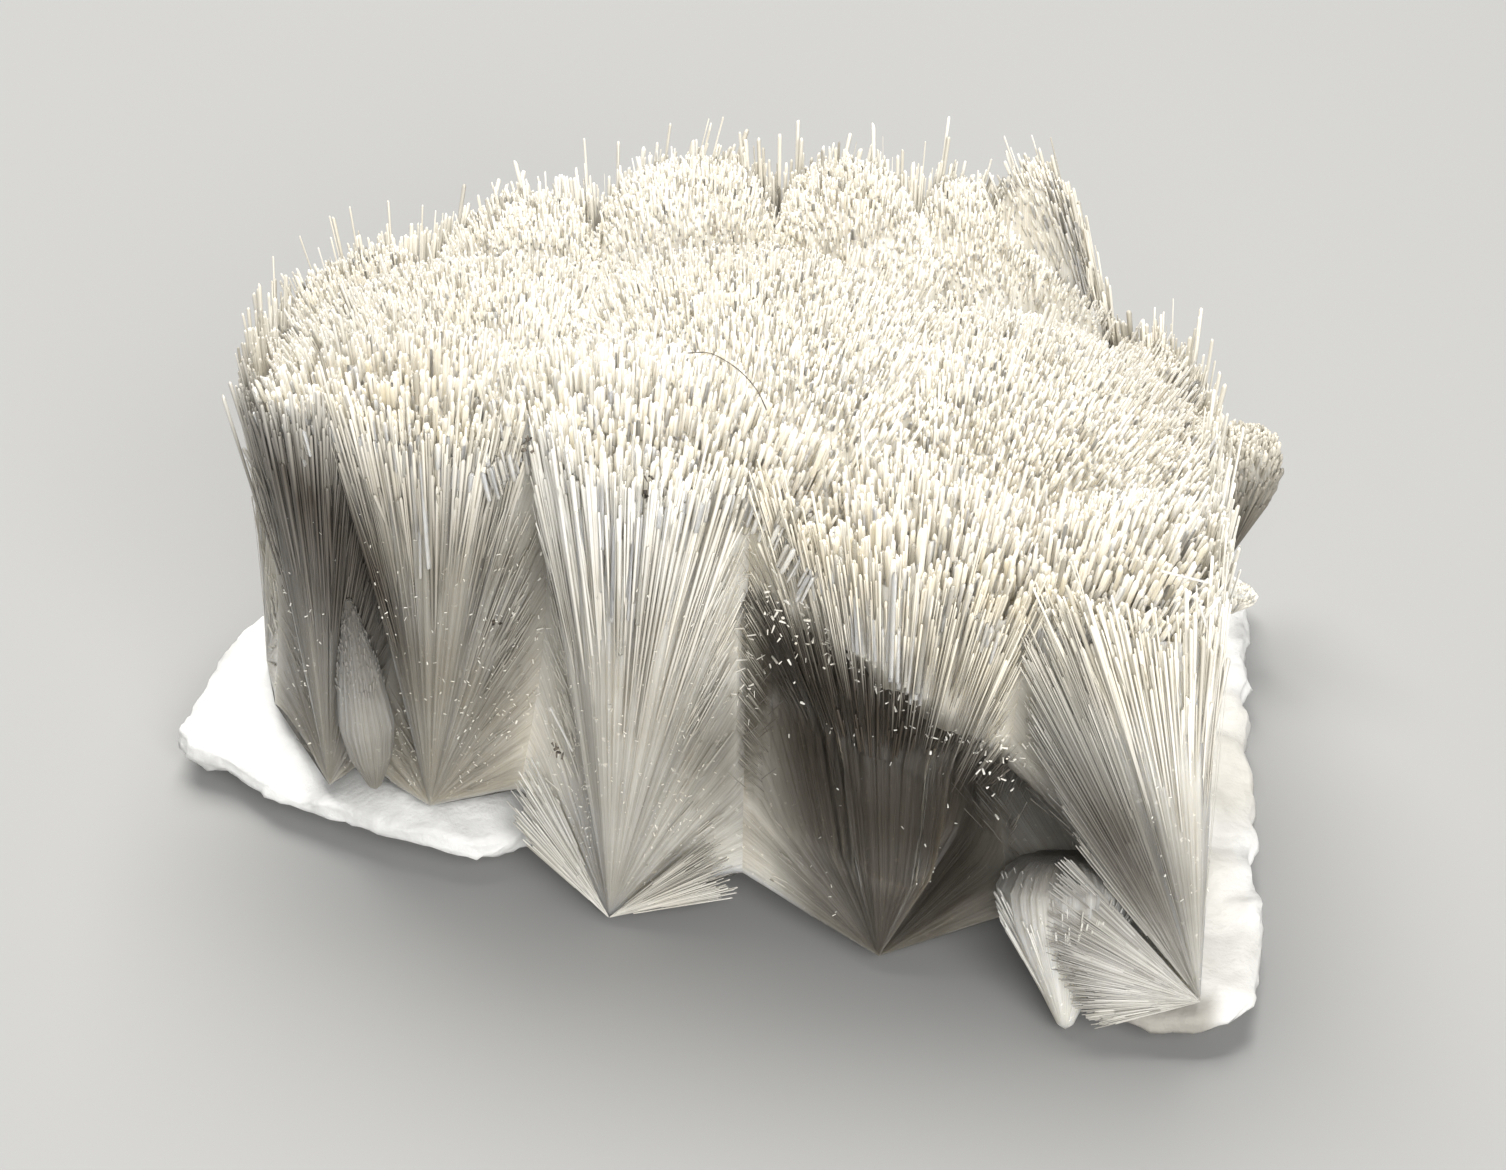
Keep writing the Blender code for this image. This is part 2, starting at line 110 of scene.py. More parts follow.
# The lobes of the carpet's top: X, Y, height and radius of curvature, and where its needles start.
LOBES = [
    (-12.8, 12.0, 13.4, 6.0, (-12.3, 9.5, 2.3)),
    (-9.0, 9.5, 16.7, 7.0, (-9.3, 8.5, 2.3)),
    (-3.4, 8.0, 17.0, 8.0, (-4.1, 6.0, 0.3)),
    (3.0, 6.5, 14.9, 9.0, (3.5, 3.8, 0.6)),
    (9.2, 5.0, 14.0, 9.0, (6.6, 4.6, 2.0)),
    (10.6, 10.5, 13.3, 9.0, (6.4, 8.4, 2.2)),
    (10.4, 15.5, 12.9, 7.0, (6.8, 14.2, 2.2)),
    (8.2, 20.6, 16.9, 0.6, (13.2, 20.6, 2.4)),
    (5.6, 20.2, 16.3, 3.4, (6.5, 20.5, 2.4)),
    (2.8, 19.8, 16.9, 4.0, (2.9, 20.6, 2.4)),
    (-1.6, 19.8, 16.9, 4.6, (-1.8, 20.6, 2.4)),
    (-5.5, 19.5, 15.9, 6.0, (-5.8, 20.2, 2.4)),
    (-9.5, 19.0, 14.5, 6.5, (-10.2, 19.4, 2.4)),
    (-12.4, 17.6, 13.0, 6.0, (-12.8, 17.6, 2.4)),
    (-12.0, 14.5, 13.9, 7.0, (-12.6, 14.4, 2.4)),
    (-7.0, 14.0, 16.3, 9.0, (-7.2, 13.6, 2.2)),
    (-0.5, 13.0, 16.9, 10.0, (-0.6, 12.6, 2.2)),
    (5.5, 12.0, 15.5, 9.0, (4.6, 11.0, 2.2)),
]
LOBE_PLACE = np.array([lobe[:4] for lobe in LOBES])
LOBE_START = np.array([lobe[4] for lobe in LOBES])

# Where two lobes differ in height by less than about LOBE_EDGE, needles end lower by VALLEY, and from
# VALLEY_FROM backwards by VALLEY_BACK.
LOBE_EDGE = 0.35
VALLEY, VALLEY_BACK, VALLEY_FROM = 0.3, 1.5, 17.0

# The top's needles end lower within EDGE_REACH of the broken front, by EDGE_DROP at its edge. They are
# finer and more even from FAR_FROM backwards, over a stretch of FAR_OVER.
EDGE_DROP, EDGE_REACH = 0.7, 4.2
FAR_FROM, FAR_OVER = 8.0, 5.0


def unit(v):
    return v / np.maximum(np.linalg.norm(v, axis=-1, keepdims=True), 1e-9)


def ease(value):
    value = np.clip(value, 0.0, 1.0)
    return value * value * (3 - 2 * value)


def top_at(xy):
    """The carpet's top: where its needles start, its height, its lobe and how near that lobe's edge is."""
    away = ((xy[:, None, :] - LOBE_PLACE[None, :, :2]) ** 2).sum(2)
    height = LOBE_PLACE[None, :, 2] - away / (2 * LOBE_PLACE[None, :, 3])
    best = height.argmax(1)
    second, first = np.sort(height, axis=1)[:, -2:].T
    return LOBE_START[best], first, best, np.exp(-(first - second) / LOBE_EDGE)


def valley(xy, edge):
    """How much lower the needles end between two lobes, more so at the back."""
    return edge * np.where(xy[:, 1] > VALLEY_FROM, VALLEY_BACK, VALLEY)


def frontness(xy):
    """How near each point is to the broken front: 1 at its edge, 0 from EDGE_REACH inwards."""
    away = np.full(len(xy), np.inf)
    for point in FRONT_LINE:
        away = np.minimum(away, ((xy - point) ** 2).sum(1))
    return 1 - ease(np.sqrt(away) / EDGE_REACH)


def farness(xy):
    """How far back each point is, where the needles are finer and more even: 0 in front to 1 behind."""
    return ease((xy[:, 1] - FAR_FROM) / FAR_OVER)


def lip_at(x):
    return np.interp(x, [p[0] for p in LIP], [p[1] for p in LIP])


def hollow(x, z):
    """How far the front is worn back under the lip."""
    sides = ease((x - LIP[0][0]) / CAVITY_FADE) * ease((LIP[-1][0] - x) / CAVITY_FADE)
    above_floor = ease((z - CAVITY_FLOOR) / (2 * CAVITY_FADE))
    return CAVITY_DEPTH * sides * ease((lip_at(x) - z) / CAVITY_FADE) * above_floor


def worn_at(place, raised=0.0):
    """How far the hollow, its lip raised by so much, moves each point back. The back has no hollow."""
    return np.where(place[..., 1] < MIDDLE[1], hollow(place[..., 0], place[..., 2] - raised), 0.0)


def painted_shade_factor(place):
    """How much brightness the painted shadows of the front leave at each point."""
    x, y, z = place.T
    left = np.ones(len(place))
    for at_x, at_z, wide, tall, lean, dark in PAINTED_SHADOWS:
        across = (x - at_x + lean * (z - at_z)) / wide
        left *= 1 - dark * np.exp(-(across**2) - ((z - at_z) / tall) ** 2)
    return np.where(y < MIDDLE[1], left, 1.0)


def fan_shade(fan, share, place):
    """How bright a fan is at points of its face: its own tone and painted shade, darker in the hollow and in
    the painted shadows.
    """
    value = np.interp(share, FAN_SHADES_AT, fan.shades)
    return value * (1 - CAVITY_DARK * (worn_at(place, LIP_SHADOW) / CAVITY_DEPTH)) * painted_shade_factor(place)


def catmull(p0, p1, p2, p3, t):
    """A point between p1 and p2 on a smooth curve through all four."""
    p0, p1, p2, p3 = (np.asarray(p, float) for p in (p0, p1, p2, p3))
    square = (2 * p0 - 5 * p1 + 4 * p2 - p3) * t**2
    return 0.5 * (2 * p1 + (p2 - p0) * t + square + (3 * p1 - p0 - 3 * p2 + p3) * t**3)


def rim_of(index, step):
    """The rim of a fan in plan, from its seam with the fan before up to its seam with the next."""
    before, after = FANS[index - 1], FANS[(index + 1) % len(FANS)]
    controls = [before.seam, *FANS[index].bulge, FANS[index].seam]
    padded = [before.bulge[-1], *controls, after.bulge[0]]
    rim = []
    for i in range(len(controls) - 1):
        count = max(2, round(math.dist(controls[i], controls[i + 1]) / step))
        rim.extend(catmull(*padded[i : i + 4], k / count) for k in range(count))
    return np.array(rim)


# How far under its rim point a seam starts, and about how long it is.
SEAM_TOP, SEAM_LENGTH = 0.35, 13.0


def seam_line(index, steps):
    """The seam after a fan, from near its rim point down to its notch."""
    xy, notch, recess = np.array(FANS[index].seam), np.array(FANS[index].notch), FANS[index].recess
    top = np.append(xy, top_at(xy[None])[1][0] - SEAM_TOP)
    inward = np.append(unit(MIDDLE - xy), 0.0)
    share = np.linspace(0, 1, steps + 1)[:, None]
    line = top + (notch - top) * share + inward * recess * np.sin(math.pi * share)
    line[:, 1] += worn_at(line)
    return line


def boundary_of(index, step):
    """A fan's boundary from notch over rim to notch, which points are on the rim, and the way out."""
    left = seam_line(index - 1, round(SEAM_LENGTH / step))[::-1]
    right = seam_line(index, round(SEAM_LENGTH / step))
    rim = rim_of(index, step)
    rim = np.column_stack([rim, top_at(rim)[1]])
    points = np.vstack([left, rim, right])
    on_rim = np.zeros(len(points), bool)
    on_rim[len(left) - 1 : len(left) + len(rim) + 1] = True
    order = np.arange(len(points))
    side = points[np.minimum(order + 1, len(points) - 1)] - points[np.maximum(order - 1, 0)]
    out = unit(np.cross(side, points - np.array(FANS[index].apex)))
    return points, on_rim, out


def smooth_noise(count, every):
    """Random values between -1 and 1 that change over about every so many places."""
    knots = rng.uniform(-1, 1, max(3, int(count / every) + 2))
    return np.interp(np.linspace(0, len(knots) - 1, count), np.arange(len(knots)), knots)


def link(name, mesh):
    obj = bpy.data.objects.new(name, mesh)
    bpy.context.scene.collection.objects.link(obj)
    return obj


def new_mesh(name, points, loops, totals, values, material):
    """A mesh object from flat arrays, with one number per point for each of the values."""
    mesh = bpy.data.meshes.new(name)
    mesh.vertices.add(len(points))
    mesh.vertices.foreach_set("co", ((points + SHIFT) * MM).astype(np.float32).ravel())
    mesh.loops.add(len(loops))
    mesh.loops.foreach_set("vertex_index", loops.astype(np.int32))
    mesh.polygons.add(len(totals))
    mesh.polygons.foreach_set("loop_start", (np.cumsum(totals) - totals).astype(np.int32))
    mesh.polygons.foreach_set("loop_total", totals.astype(np.int32))
    mesh.update(calc_edges=True)
    for label, numbers in values.items():
        layer = mesh.attributes.new(label, "FLOAT", "POINT")
        layer.data.foreach_set("value", np.asarray(numbers, np.float32))
    mesh.materials.append(material)
    return link(name, mesh)


# A needle's end slants by up to SLANT of its width and has an edge bevelled by BEVEL of it, to CAP_WIDTH.
# FLATNESS is how thick the needle is for its width.
SLANT, BEVEL, CAP_WIDTH, FLATNESS = 0.35, 0.5, 0.62, (0.6, 1.0)


def needles(base, tip, base_width, tip_width, tone, shade, warm, sides=4, segments=1):
    """Needle prisms with bevelled, more or less slanting ends, as arrays that join() puts together.

    The shade is one number for each needle, or a row of them from its base to its tip."""
    n = len(base)
    axis = unit(tip - base)
    length = np.linalg.norm(tip - base, axis=1)
    other = np.where(np.abs(axis[:, 2:]) > 0.9, [[1.0, 0, 0]], [[0.0, 0, 1]])
    across = unit(np.cross(axis, other))
    up = np.cross(axis, across)
    turn = rng.uniform(0, 2 * math.pi, n)
    flat = rng.uniform(*FLATNESS, n)
    tilt = rng.uniform(0, 2 * math.pi, n)
    steep = SLANT * rng.random(n) ** 2
    levels = np.append(np.arange(segments) / segments, [1.0, 1.0])
    rings = []
    for step, level in enumerate(levels):
        width = base_width + (tip_width - base_width) * level
        ring = np.empty((n, sides, 3))
        for k in range(sides):
            angle = turn + 2 * math.pi * k / sides
            reach = 0.5 * width * (CAP_WIDTH if step > segments else 1.0)
            along = np.cos(angle - tilt) * tip_width * steep if step >= segments else np.zeros(n)
            if step == segments:
                along = along - np.minimum(BEVEL * tip_width, 0.3 * length / segments)
            place = base + (tip - base) * level + axis * along[:, None]
            sideways, upwards = np.cos(angle) * reach, np.sin(angle) * reach * flat
            ring[:, k] = place + across * sideways[:, None] + up * upwards[:, None]
        rings.append(ring)
    points = np.stack(rings, 1)
    per = len(levels) * sides
    first = np.arange(n)[:, None] * per
    quads = []
    for level in range(segments + 1):
        low, high = level * sides, (level + 1) * sides
        for k in range(sides):
            j = (k + 1) % sides
            quads.append([low + k, low + j, high + j, high + k])
    quads = np.array(quads)
    cap = np.arange(per - sides, per)
    pattern = np.concatenate([quads.ravel(), cap])
    totals = np.concatenate([np.full(len(quads), 4), [sides]])
    known = shade if np.ndim(shade) == 2 else np.stack([shade, shade], 1)
    at = levels * (known.shape[1] - 1)
    low = np.minimum(at.astype(int), known.shape[1] - 2)
    shades = known[:, low] + (known[:, low + 1] - known[:, low]) * (at - low)
    values = {
        "tone": np.repeat(tone, per),
        "shade": np.repeat(shades, sides, axis=1).ravel(),
        "warm": np.repeat(warm, per),
    }
    return points.reshape(-1, 3), (first + pattern).ravel(), np.tile(totals, n), values


def join(name, parts, material):
    """One object from several lots of needles."""
    points, loops, totals, values, offset = [], [], [], {}, 0
    for part_points, part_loops, part_totals, part_values in parts:
        points.append(part_points)
        loops.append(part_loops + offset)
        totals.append(part_totals)
        offset += len(part_points)
        for key, numbers in part_values.items():
            values.setdefault(key, []).append(numbers)
    totals = np.concatenate(totals)
    values = {key: np.concatenate(v) for key, v in values.items()}
    points, loops = np.concatenate(points), np.concatenate(loops)
    return new_mesh(name, points, loops, totals, values, material)


def faces_to_arrays(faces):
    return np.concatenate([np.asarray(f) for f in faces]), np.array([len(f) for f in faces])


def inside(outline, xy):
    """Which points lie within a closed outline."""
    hit = np.zeros(len(xy), bool)
    last = outline[-1]
    for point in outline:
        if point[1] != last[1]:
            between = (point[1] > xy[:, 1]) != (last[1] > xy[:, 1])
            crossing = (last[0] - point[0]) * (xy[:, 1] - point[1]) / (last[1] - point[1]) + point[0]
            hit ^= between & (xy[:, 0] < crossing)
        last = point
    return hit


def lattice(outline, pitch, jitter):
    """Jittered points of a triangular lattice within an outline."""
    low, high = outline.min(0), outline.max(0)
    rows = np.arange(low[1], high[1], pitch * math.sqrt(0.75))
    columns = np.arange(low[0], high[0], pitch)
    x, y = np.meshgrid(columns, rows)
    x = x + 0.5 * pitch * (np.arange(len(rows)) % 2)[:, None]
    xy = np.column_stack([x.ravel(), y.ravel()])
    xy += rng.uniform(-jitter, jitter, xy.shape)
    return xy[inside(outline, xy)]


def fill(outline, points):
    """Points and triangles over an outline in plan and the points inside it, facing up."""
    flat = [Vector(p[:2]) for p in outline] + [Vector(p[:2]) for p in points]
    edges = [(i, (i + 1) % len(outline)) for i in range(len(outline))]
    flat, _, faces, _, _, _ = geometry.delaunay_2d_cdt(flat, edges, [], 1, 1e-6)
    facing = []
    for a, b, c in faces:
        if (flat[b] - flat[a]).cross(flat[c] - flat[a]) < 0:
            b, c = c, b
        facing.append((a, b, c))
    return np.array([tuple(p) for p in flat]), facing


# Materials.


def new_material(name):
    material = bpy.data.materials.new(name)
    material.use_nodes = True
    tree = material.node_tree
    return material, tree, tree.nodes["Principled BSDF"]


def add_node(tree, kind, **settings):
    node = tree.nodes.new(kind)
    for key, value in settings.items():
        if key in node.inputs:
            node.inputs[key].default_value = value
        else:
            setattr(node, key, value)
    return node


def object_place(tree):
    return add_node(tree, "ShaderNodeTexCoord").outputs["Object"]


def clouds(tree, where, **settings):
    node = add_node(tree, "ShaderNodeTexNoise", **settings)
    tree.links.new(where, node.inputs["Vector"])
    return node.outputs["Fac"]


def ramp(tree, source, stops):
    node = tree.nodes.new("ShaderNodeValToRGB")
    elements = node.color_ramp.elements
    while len(elements) < len(stops):
        elements.new(0.5)
    for element, (place, colour) in zip(elements, stops):
        element.position = place
        element.color = (*colour, 1.0)
    tree.links.new(source, node.inputs["Fac"])
    return node.outputs["Color"]


def mix(tree, kind, factor, a, b):
    node = tree.nodes.new("ShaderNodeMix")
    node.data_type = "RGBA"
    node.blend_type = kind
    for socket, value in ((node.inputs["Factor"], factor), (node.inputs["A"], a), (node.inputs["B"], b)):
        if isinstance(value, bpy.types.NodeSocket):
            tree.links.new(value, socket)
        else:
            socket.default_value = value
    return node.outputs["Result"]


def roughen(tree, shader, height, strength, distance):
    bump = add_node(tree, "ShaderNodeBump", Strength=strength, Distance=distance)
    tree.links.new(height, bump.inputs["Height"])
    tree.links.new(bump.outputs["Normal"], shader.inputs["Normal"])


def attribute(tree, name):
    node = tree.nodes.new("ShaderNodeAttribute")
    node.attribute_name = name
    return node.outputs["Fac"]


WHITE = (1.0, 1.0, 1.0)
WARM = (1.0, 0.968, 0.90, 1.0)
MIDDLE_SHADE = 0.74
TONES = [(0.0, (0.66, 0.65, 0.62)), (0.14, (0.88, 0.875, 0.86)), (0.35, WHITE)]
PATCHES = [(0.35, (0.84, 0.825, 0.79)), (0.62, WHITE)]
DRIFTS = [(0.38, (0.86, 0.835, 0.785)), (0.60, WHITE)]
# STREAKS are the fibres' own streaks, partly painted sheen where they go brighter than white; FLECKS are
# painted glints.
STREAKS = [(0.32, (0.60, 0.58, 0.55)), (0.5, (0.92, 0.915, 0.90)), (0.68, (1.15, 1.15, 1.14))]
FLECKS = [(0.66, WHITE), (0.72, (1.5, 1.5, 1.5))]
GLOW_RADIUS = (0.0011, 0.0010, 0.0008)


def needle_material(name, bright, dark, roughness, glow=0.0, clear=0.0, silky=False):
    """Silky needles: brightness by shade, some needles greyer by tone, with clouds and fine flecks.

    A silky one has fine streaks along the rays as well, in its colour, partly painted sheen, and in its
    surface, and bright flecks painted as glints."""
    material, tree, shader = new_material(name)
    links = tree.links
    where = object_place(tree)
    middle = tuple(0.5 * (d + b) * MIDDLE_SHADE for d, b in zip(dark, bright))
    colour = ramp(tree, attribute(tree, "shade"), [(0.0, dark), (0.5, middle), (1.0, bright)])
    colour = mix(tree, "MULTIPLY", attribute(tree, "warm"), colour, WARM)
    colour = mix(tree, "MULTIPLY", 1.0, colour, ramp(tree, attribute(tree, "tone"), TONES))
    patches = ramp(tree, clouds(tree, where, Scale=420.0, Detail=4.0, Roughness=0.6), PATCHES)
    colour = mix(tree, "MULTIPLY", 0.8, colour, patches)
    drifts = ramp(tree, clouds(tree, where, Scale=130.0, Detail=2.0), DRIFTS)
    colour = mix(tree, "MULTIPLY", 0.8, colour, drifts)
    grain = clouds(tree, where, Scale=5200.0, Detail=2.0)
    if silky:
        place = add_node(tree, "ShaderNodeCombineXYZ")
        links.new(attribute(tree, "arc"), place.inputs["X"])
        links.new(attribute(tree, "along"), place.inputs["Y"])
        stretch = add_node(tree, "ShaderNodeVectorMath", operation="MULTIPLY")
        stretch.inputs[1].default_value = (7.0, 2.2, 1.0)
        links.new(place.outputs["Vector"], stretch.inputs[0])
        silk = clouds(tree, stretch.outputs["Vector"], Scale=1.0, Detail=5.0, Roughness=0.7)
        colour = mix(tree, "MULTIPLY", 0.75, colour, ramp(tree, silk, STREAKS))
        colour = mix(tree, "MULTIPLY", 0.8, colour, ramp(tree, grain, FLECKS))
        roughen(tree, shader, silk, 0.7, 0.00008)
    links.new(colour, shader.inputs["Base Color"])
    smoothest, roughest = roughness - 0.12, roughness + 0.14
    gloss = add_node(tree, "ShaderNodeMapRange", **{"To Min": smoothest, "To Max": roughest})
    links.new(grain, gloss.inputs["Value"])
    links.new(gloss.outputs["Result"], shader.inputs["Roughness"])
    shader.inputs["Transmission Weight"].default_value = clear
    shader.inputs["Subsurface Weight"].default_value = glow
    shader.inputs["Subsurface Radius"].default_value = GLOW_RADIUS
    shader.inputs["Subsurface Scale"].default_value = 1.0
    shader.inputs["IOR"].default_value = 1.53
    shader.inputs["Specular IOR Level"].default_value = 0.35
    return material


CREAM, SILVER = (0.93, 0.895, 0.81), (0.93, 0.92, 0.88)
GLOW = 0.8
top_material = needle_material("artinite_tips", CREAM, (0.30, 0.26, 0.20), 0.42, glow=GLOW)
fan_material = needle_material("artinite_fans", SILVER, (0.07, 0.06, 0.05), 0.36)
PACKED_DARK = (0.05, 0.043, 0.035)
core_material = needle_material("artinite_packed", SILVER, PACKED_DARK, 0.45, glow=GLOW, silky=True)
clear_material = needle_material("artinite_clear", SILVER, (0.12, 0.11, 0.095), 0.22, clear=0.45)


# The packed body of the carpet, a little inside the needles. CORE_ROWS are the shares from a fan's start
# to its boundary. RIDGES are heights on its face and how many steps of the boundary each is wide.

CORE_STEP = 0.11
CORE_ROWS = np.append([0.0, 0.04, 0.09, 0.14], np.linspace(0.20, 0.92, 13).round(2))
RIDGES = [(0.05, 1.0), (0.07, 3.0), (0.10, 10.0)]
CORE_INSET, BREAK_STEP, UPPER_INSET = 0.05, 0.05, 0.06

# The body's top: how far inside the rim it ends, its pitch and bumps, and how far it lies under the tips,
# further so at the front and less so at the back.
CAP_INSET, CAP_PITCH, CAP_BUMPS = 0.9, 0.3, 0.15
CAP_SUNK, CAP_SUNK_FRONT, CAP_RAISED_FAR = 0.5, 1.4, 0.14


def make_core():
    """The carpet's packed inside: the fans' faces with fine ridges, a bumpy top and a plain underside."""
    points, faces, count = [], [], 0
    values = {"shade": [], "tone": [], "warm": [], "arc": [], "along": []}

    def add(place, **numbers):
        nonlocal count
        points.append(place)
        for key, layer in values.items():
            layer.append(np.broadcast_to(numbers[key], len(place)))
        count += len(place)
        return np.arange(count - len(place), count)

    def add_cap(flat, depth, triangles, shade):
        place = np.column_stack([flat, depth])
        names = add(place, shade=shade, tone=0.8, warm=0.6, arc=flat[:, 0] * 3, along=flat[:, 1] / 6)
        faces.extend(tuple(names[i] for i in face) for face in triangles)

    for i, fan in enumerate(FANS):
        apex = np.array(fan.apex)
        ends, on_rim, out = boundary_of(i, CORE_STEP)
        m = len(ends)
        arc = 40 * i + np.concatenate([[0], np.cumsum(np.linalg.norm(np.diff(ends, axis=0), axis=1))])
        ridge = sum(high * smooth_noise(m, wide) for high, wide in RIDGES)
        broken = np.repeat(rng.uniform(0.15, 1.8, m // 4 + 1), 4)[:m]
        tone = np.clip(0.6 + 0.3 * smooth_noise(m, 1.5) + 0.2 * smooth_noise(m, 6.0), 0, 1)
        rays = []
        for share in CORE_ROWS:
            reach = np.where(on_rim, share, share / CORE_ROWS[-1])
            push = (ridge - BREAK_STEP * (share > broken) - CORE_INSET) * min(1.0, 2.2 * share)
            push = push - UPPER_INSET * ease((share - 0.45) / 0.3)
            push = np.where(on_rim, push, push * np.sqrt(1 - reach))
            place = apex + (ends - apex) * reach[:, None] + out * push[:, None]
            worn = worn_at(place)
            worn[[0, -1]] = 0.0
            shade = np.clip(fan_shade(fan, share, place), 0, 1)
            place[:, 1] += worn
            rays.append(add(place, shade=shade, tone=tone, warm=fan.warmth, arc=arc, along=share))
        rays = np.array(rays)
        for low, high in zip(rays, rays[1:]):
            faces.extend(zip(low[:-1], low[1:], high[1:], high[:-1]))

    outline = np.concatenate([rim_of(i, 0.3) for i in range(len(FANS))])
    outline = outline + unit(MIDDLE - outline) * CAP_INSET
    flat, triangles = fill(outline, lattice(outline, CAP_PITCH, 0.08))
    _, depth, _, edge = top_at(flat)
    depth = depth - valley(flat, edge) - CAP_SUNK + rng.uniform(-CAP_BUMPS, CAP_BUMPS, len(flat))
    far = farness(flat)
    depth += CAP_RAISED_FAR * far - CAP_SUNK_FRONT * frontness(flat)
    add_cap(flat, depth, triangles, 0.97 - 0.13 * far)

    # The underside, from each fan's start to the notch beside it, painted dark as shade.
    under = np.array([place for fan in FANS for place in (fan.apex, fan.notch)])
    flat, triangles = fill(under, [])
    depth = [under[np.argmin(((under[:, :2] - place) ** 2).sum(1)), 2] for place in flat]
    add_cap(flat, depth, [face[::-1] for face in triangles], 0.2)
    loops, totals = faces_to_arrays(faces)
    values = {key: np.concatenate(v) for key, v in values.items()}
    return new_mesh("packed_body", np.concatenate(points), loops, totals, values, core_material)


# The needles of the fans. A needle's shade is worked out at the shares of SHADED_AT of its length.

NEEDLES_PER_MM = 60.0
SCATTER = 0.16
SHADED_AT = (0, 1 / 3, 2 / 3, 1)

# Along a seam they are (height - bare) / SEAM_FULL as crowded as at the rim, within SEAM_SHARES.
SEAM_BARE, SEAM_BARE_RIGHT, SEAM_FULL = 6.0, 3.0, 5.0
SEAM_SHARES = 0.22, 0.6

# How far past the boundary the outer and inner ones of the rim end, how far short of it those of the
# seams do, and how many at the rim stand out, and by how much.
OUTER_ENDS, INNER_ENDS, SHORT_BY = (-2.6, 0.3), (-0.6, 0.7), (0.2, 3.0)
TALL_SHARE, TALL = 0.02, (0.7, 1.5)

# The shares of the ray where they start: a few fine ones low, the others high.
LOW_SHARE, STARTS_LOW, STARTS_HIGH, FINE_BELOW = 0.07, (0.04, 0.45), (0.40, 0.85), 0.4
WIDTHS, FINE_WIDTH, HOLLOW_WIDTH = (0.06, 0.17), 0.4, 0.75
ROOT_WIDTH, SEAM_POINT = 0.6, 0.35

# Over the hollow most are broken off near the lip, their feet painted dark by LIP_SHADES as the hollow's
# shade, and a few lie at its back wall, painted darker by BACK_SHADE.
BACK_SHARE, LIP_BREAK = 0.10, (-0.08, 0.12)
LIP_SHADES, LIP_ROOT_WIDTH, BACK_SHADE = (0.20, 0.75, 1.0, 1.0), 0.25, 0.35
RAY_STEPS = 60


def break_off(index, apex, ray, began, ended):
    """Where needles begin and end with the hollow in their way, and which are before it and in it."""
    n = len(ray)
    share = np.linspace(0.0, 1.0, RAY_STEPS)
    worn = worn_at(apex + ray[:, None, :] * share[None, :, None]) > 0.3 * CAVITY_DEPTH
    over = worn.any(1) & (index in HOLLOW_FANS)
    lip = np.where(over, share[RAY_STEPS - 1 - np.argmax(worn[:, ::-1], 1)], 0.0)
    foot = np.where(over, share[np.argmax(worn, 1)], 0.0)
    back = over & (rng.random(n) < BACK_SHARE)
    front = over & ~back
    began = np.where(front, np.maximum(began, lip + rng.uniform(*LIP_BREAK, n)), began)
    ended = np.where(front, np.maximum(ended, began + 0.10), ended)
    ended = np.where(back, lip - rng.uniform(0.05, 0.3, n), ended)
    began = np.where(back, np.minimum(foot + rng.uniform(0.0, 0.3, n), ended - 0.1), began)
    return began, ended, front, back


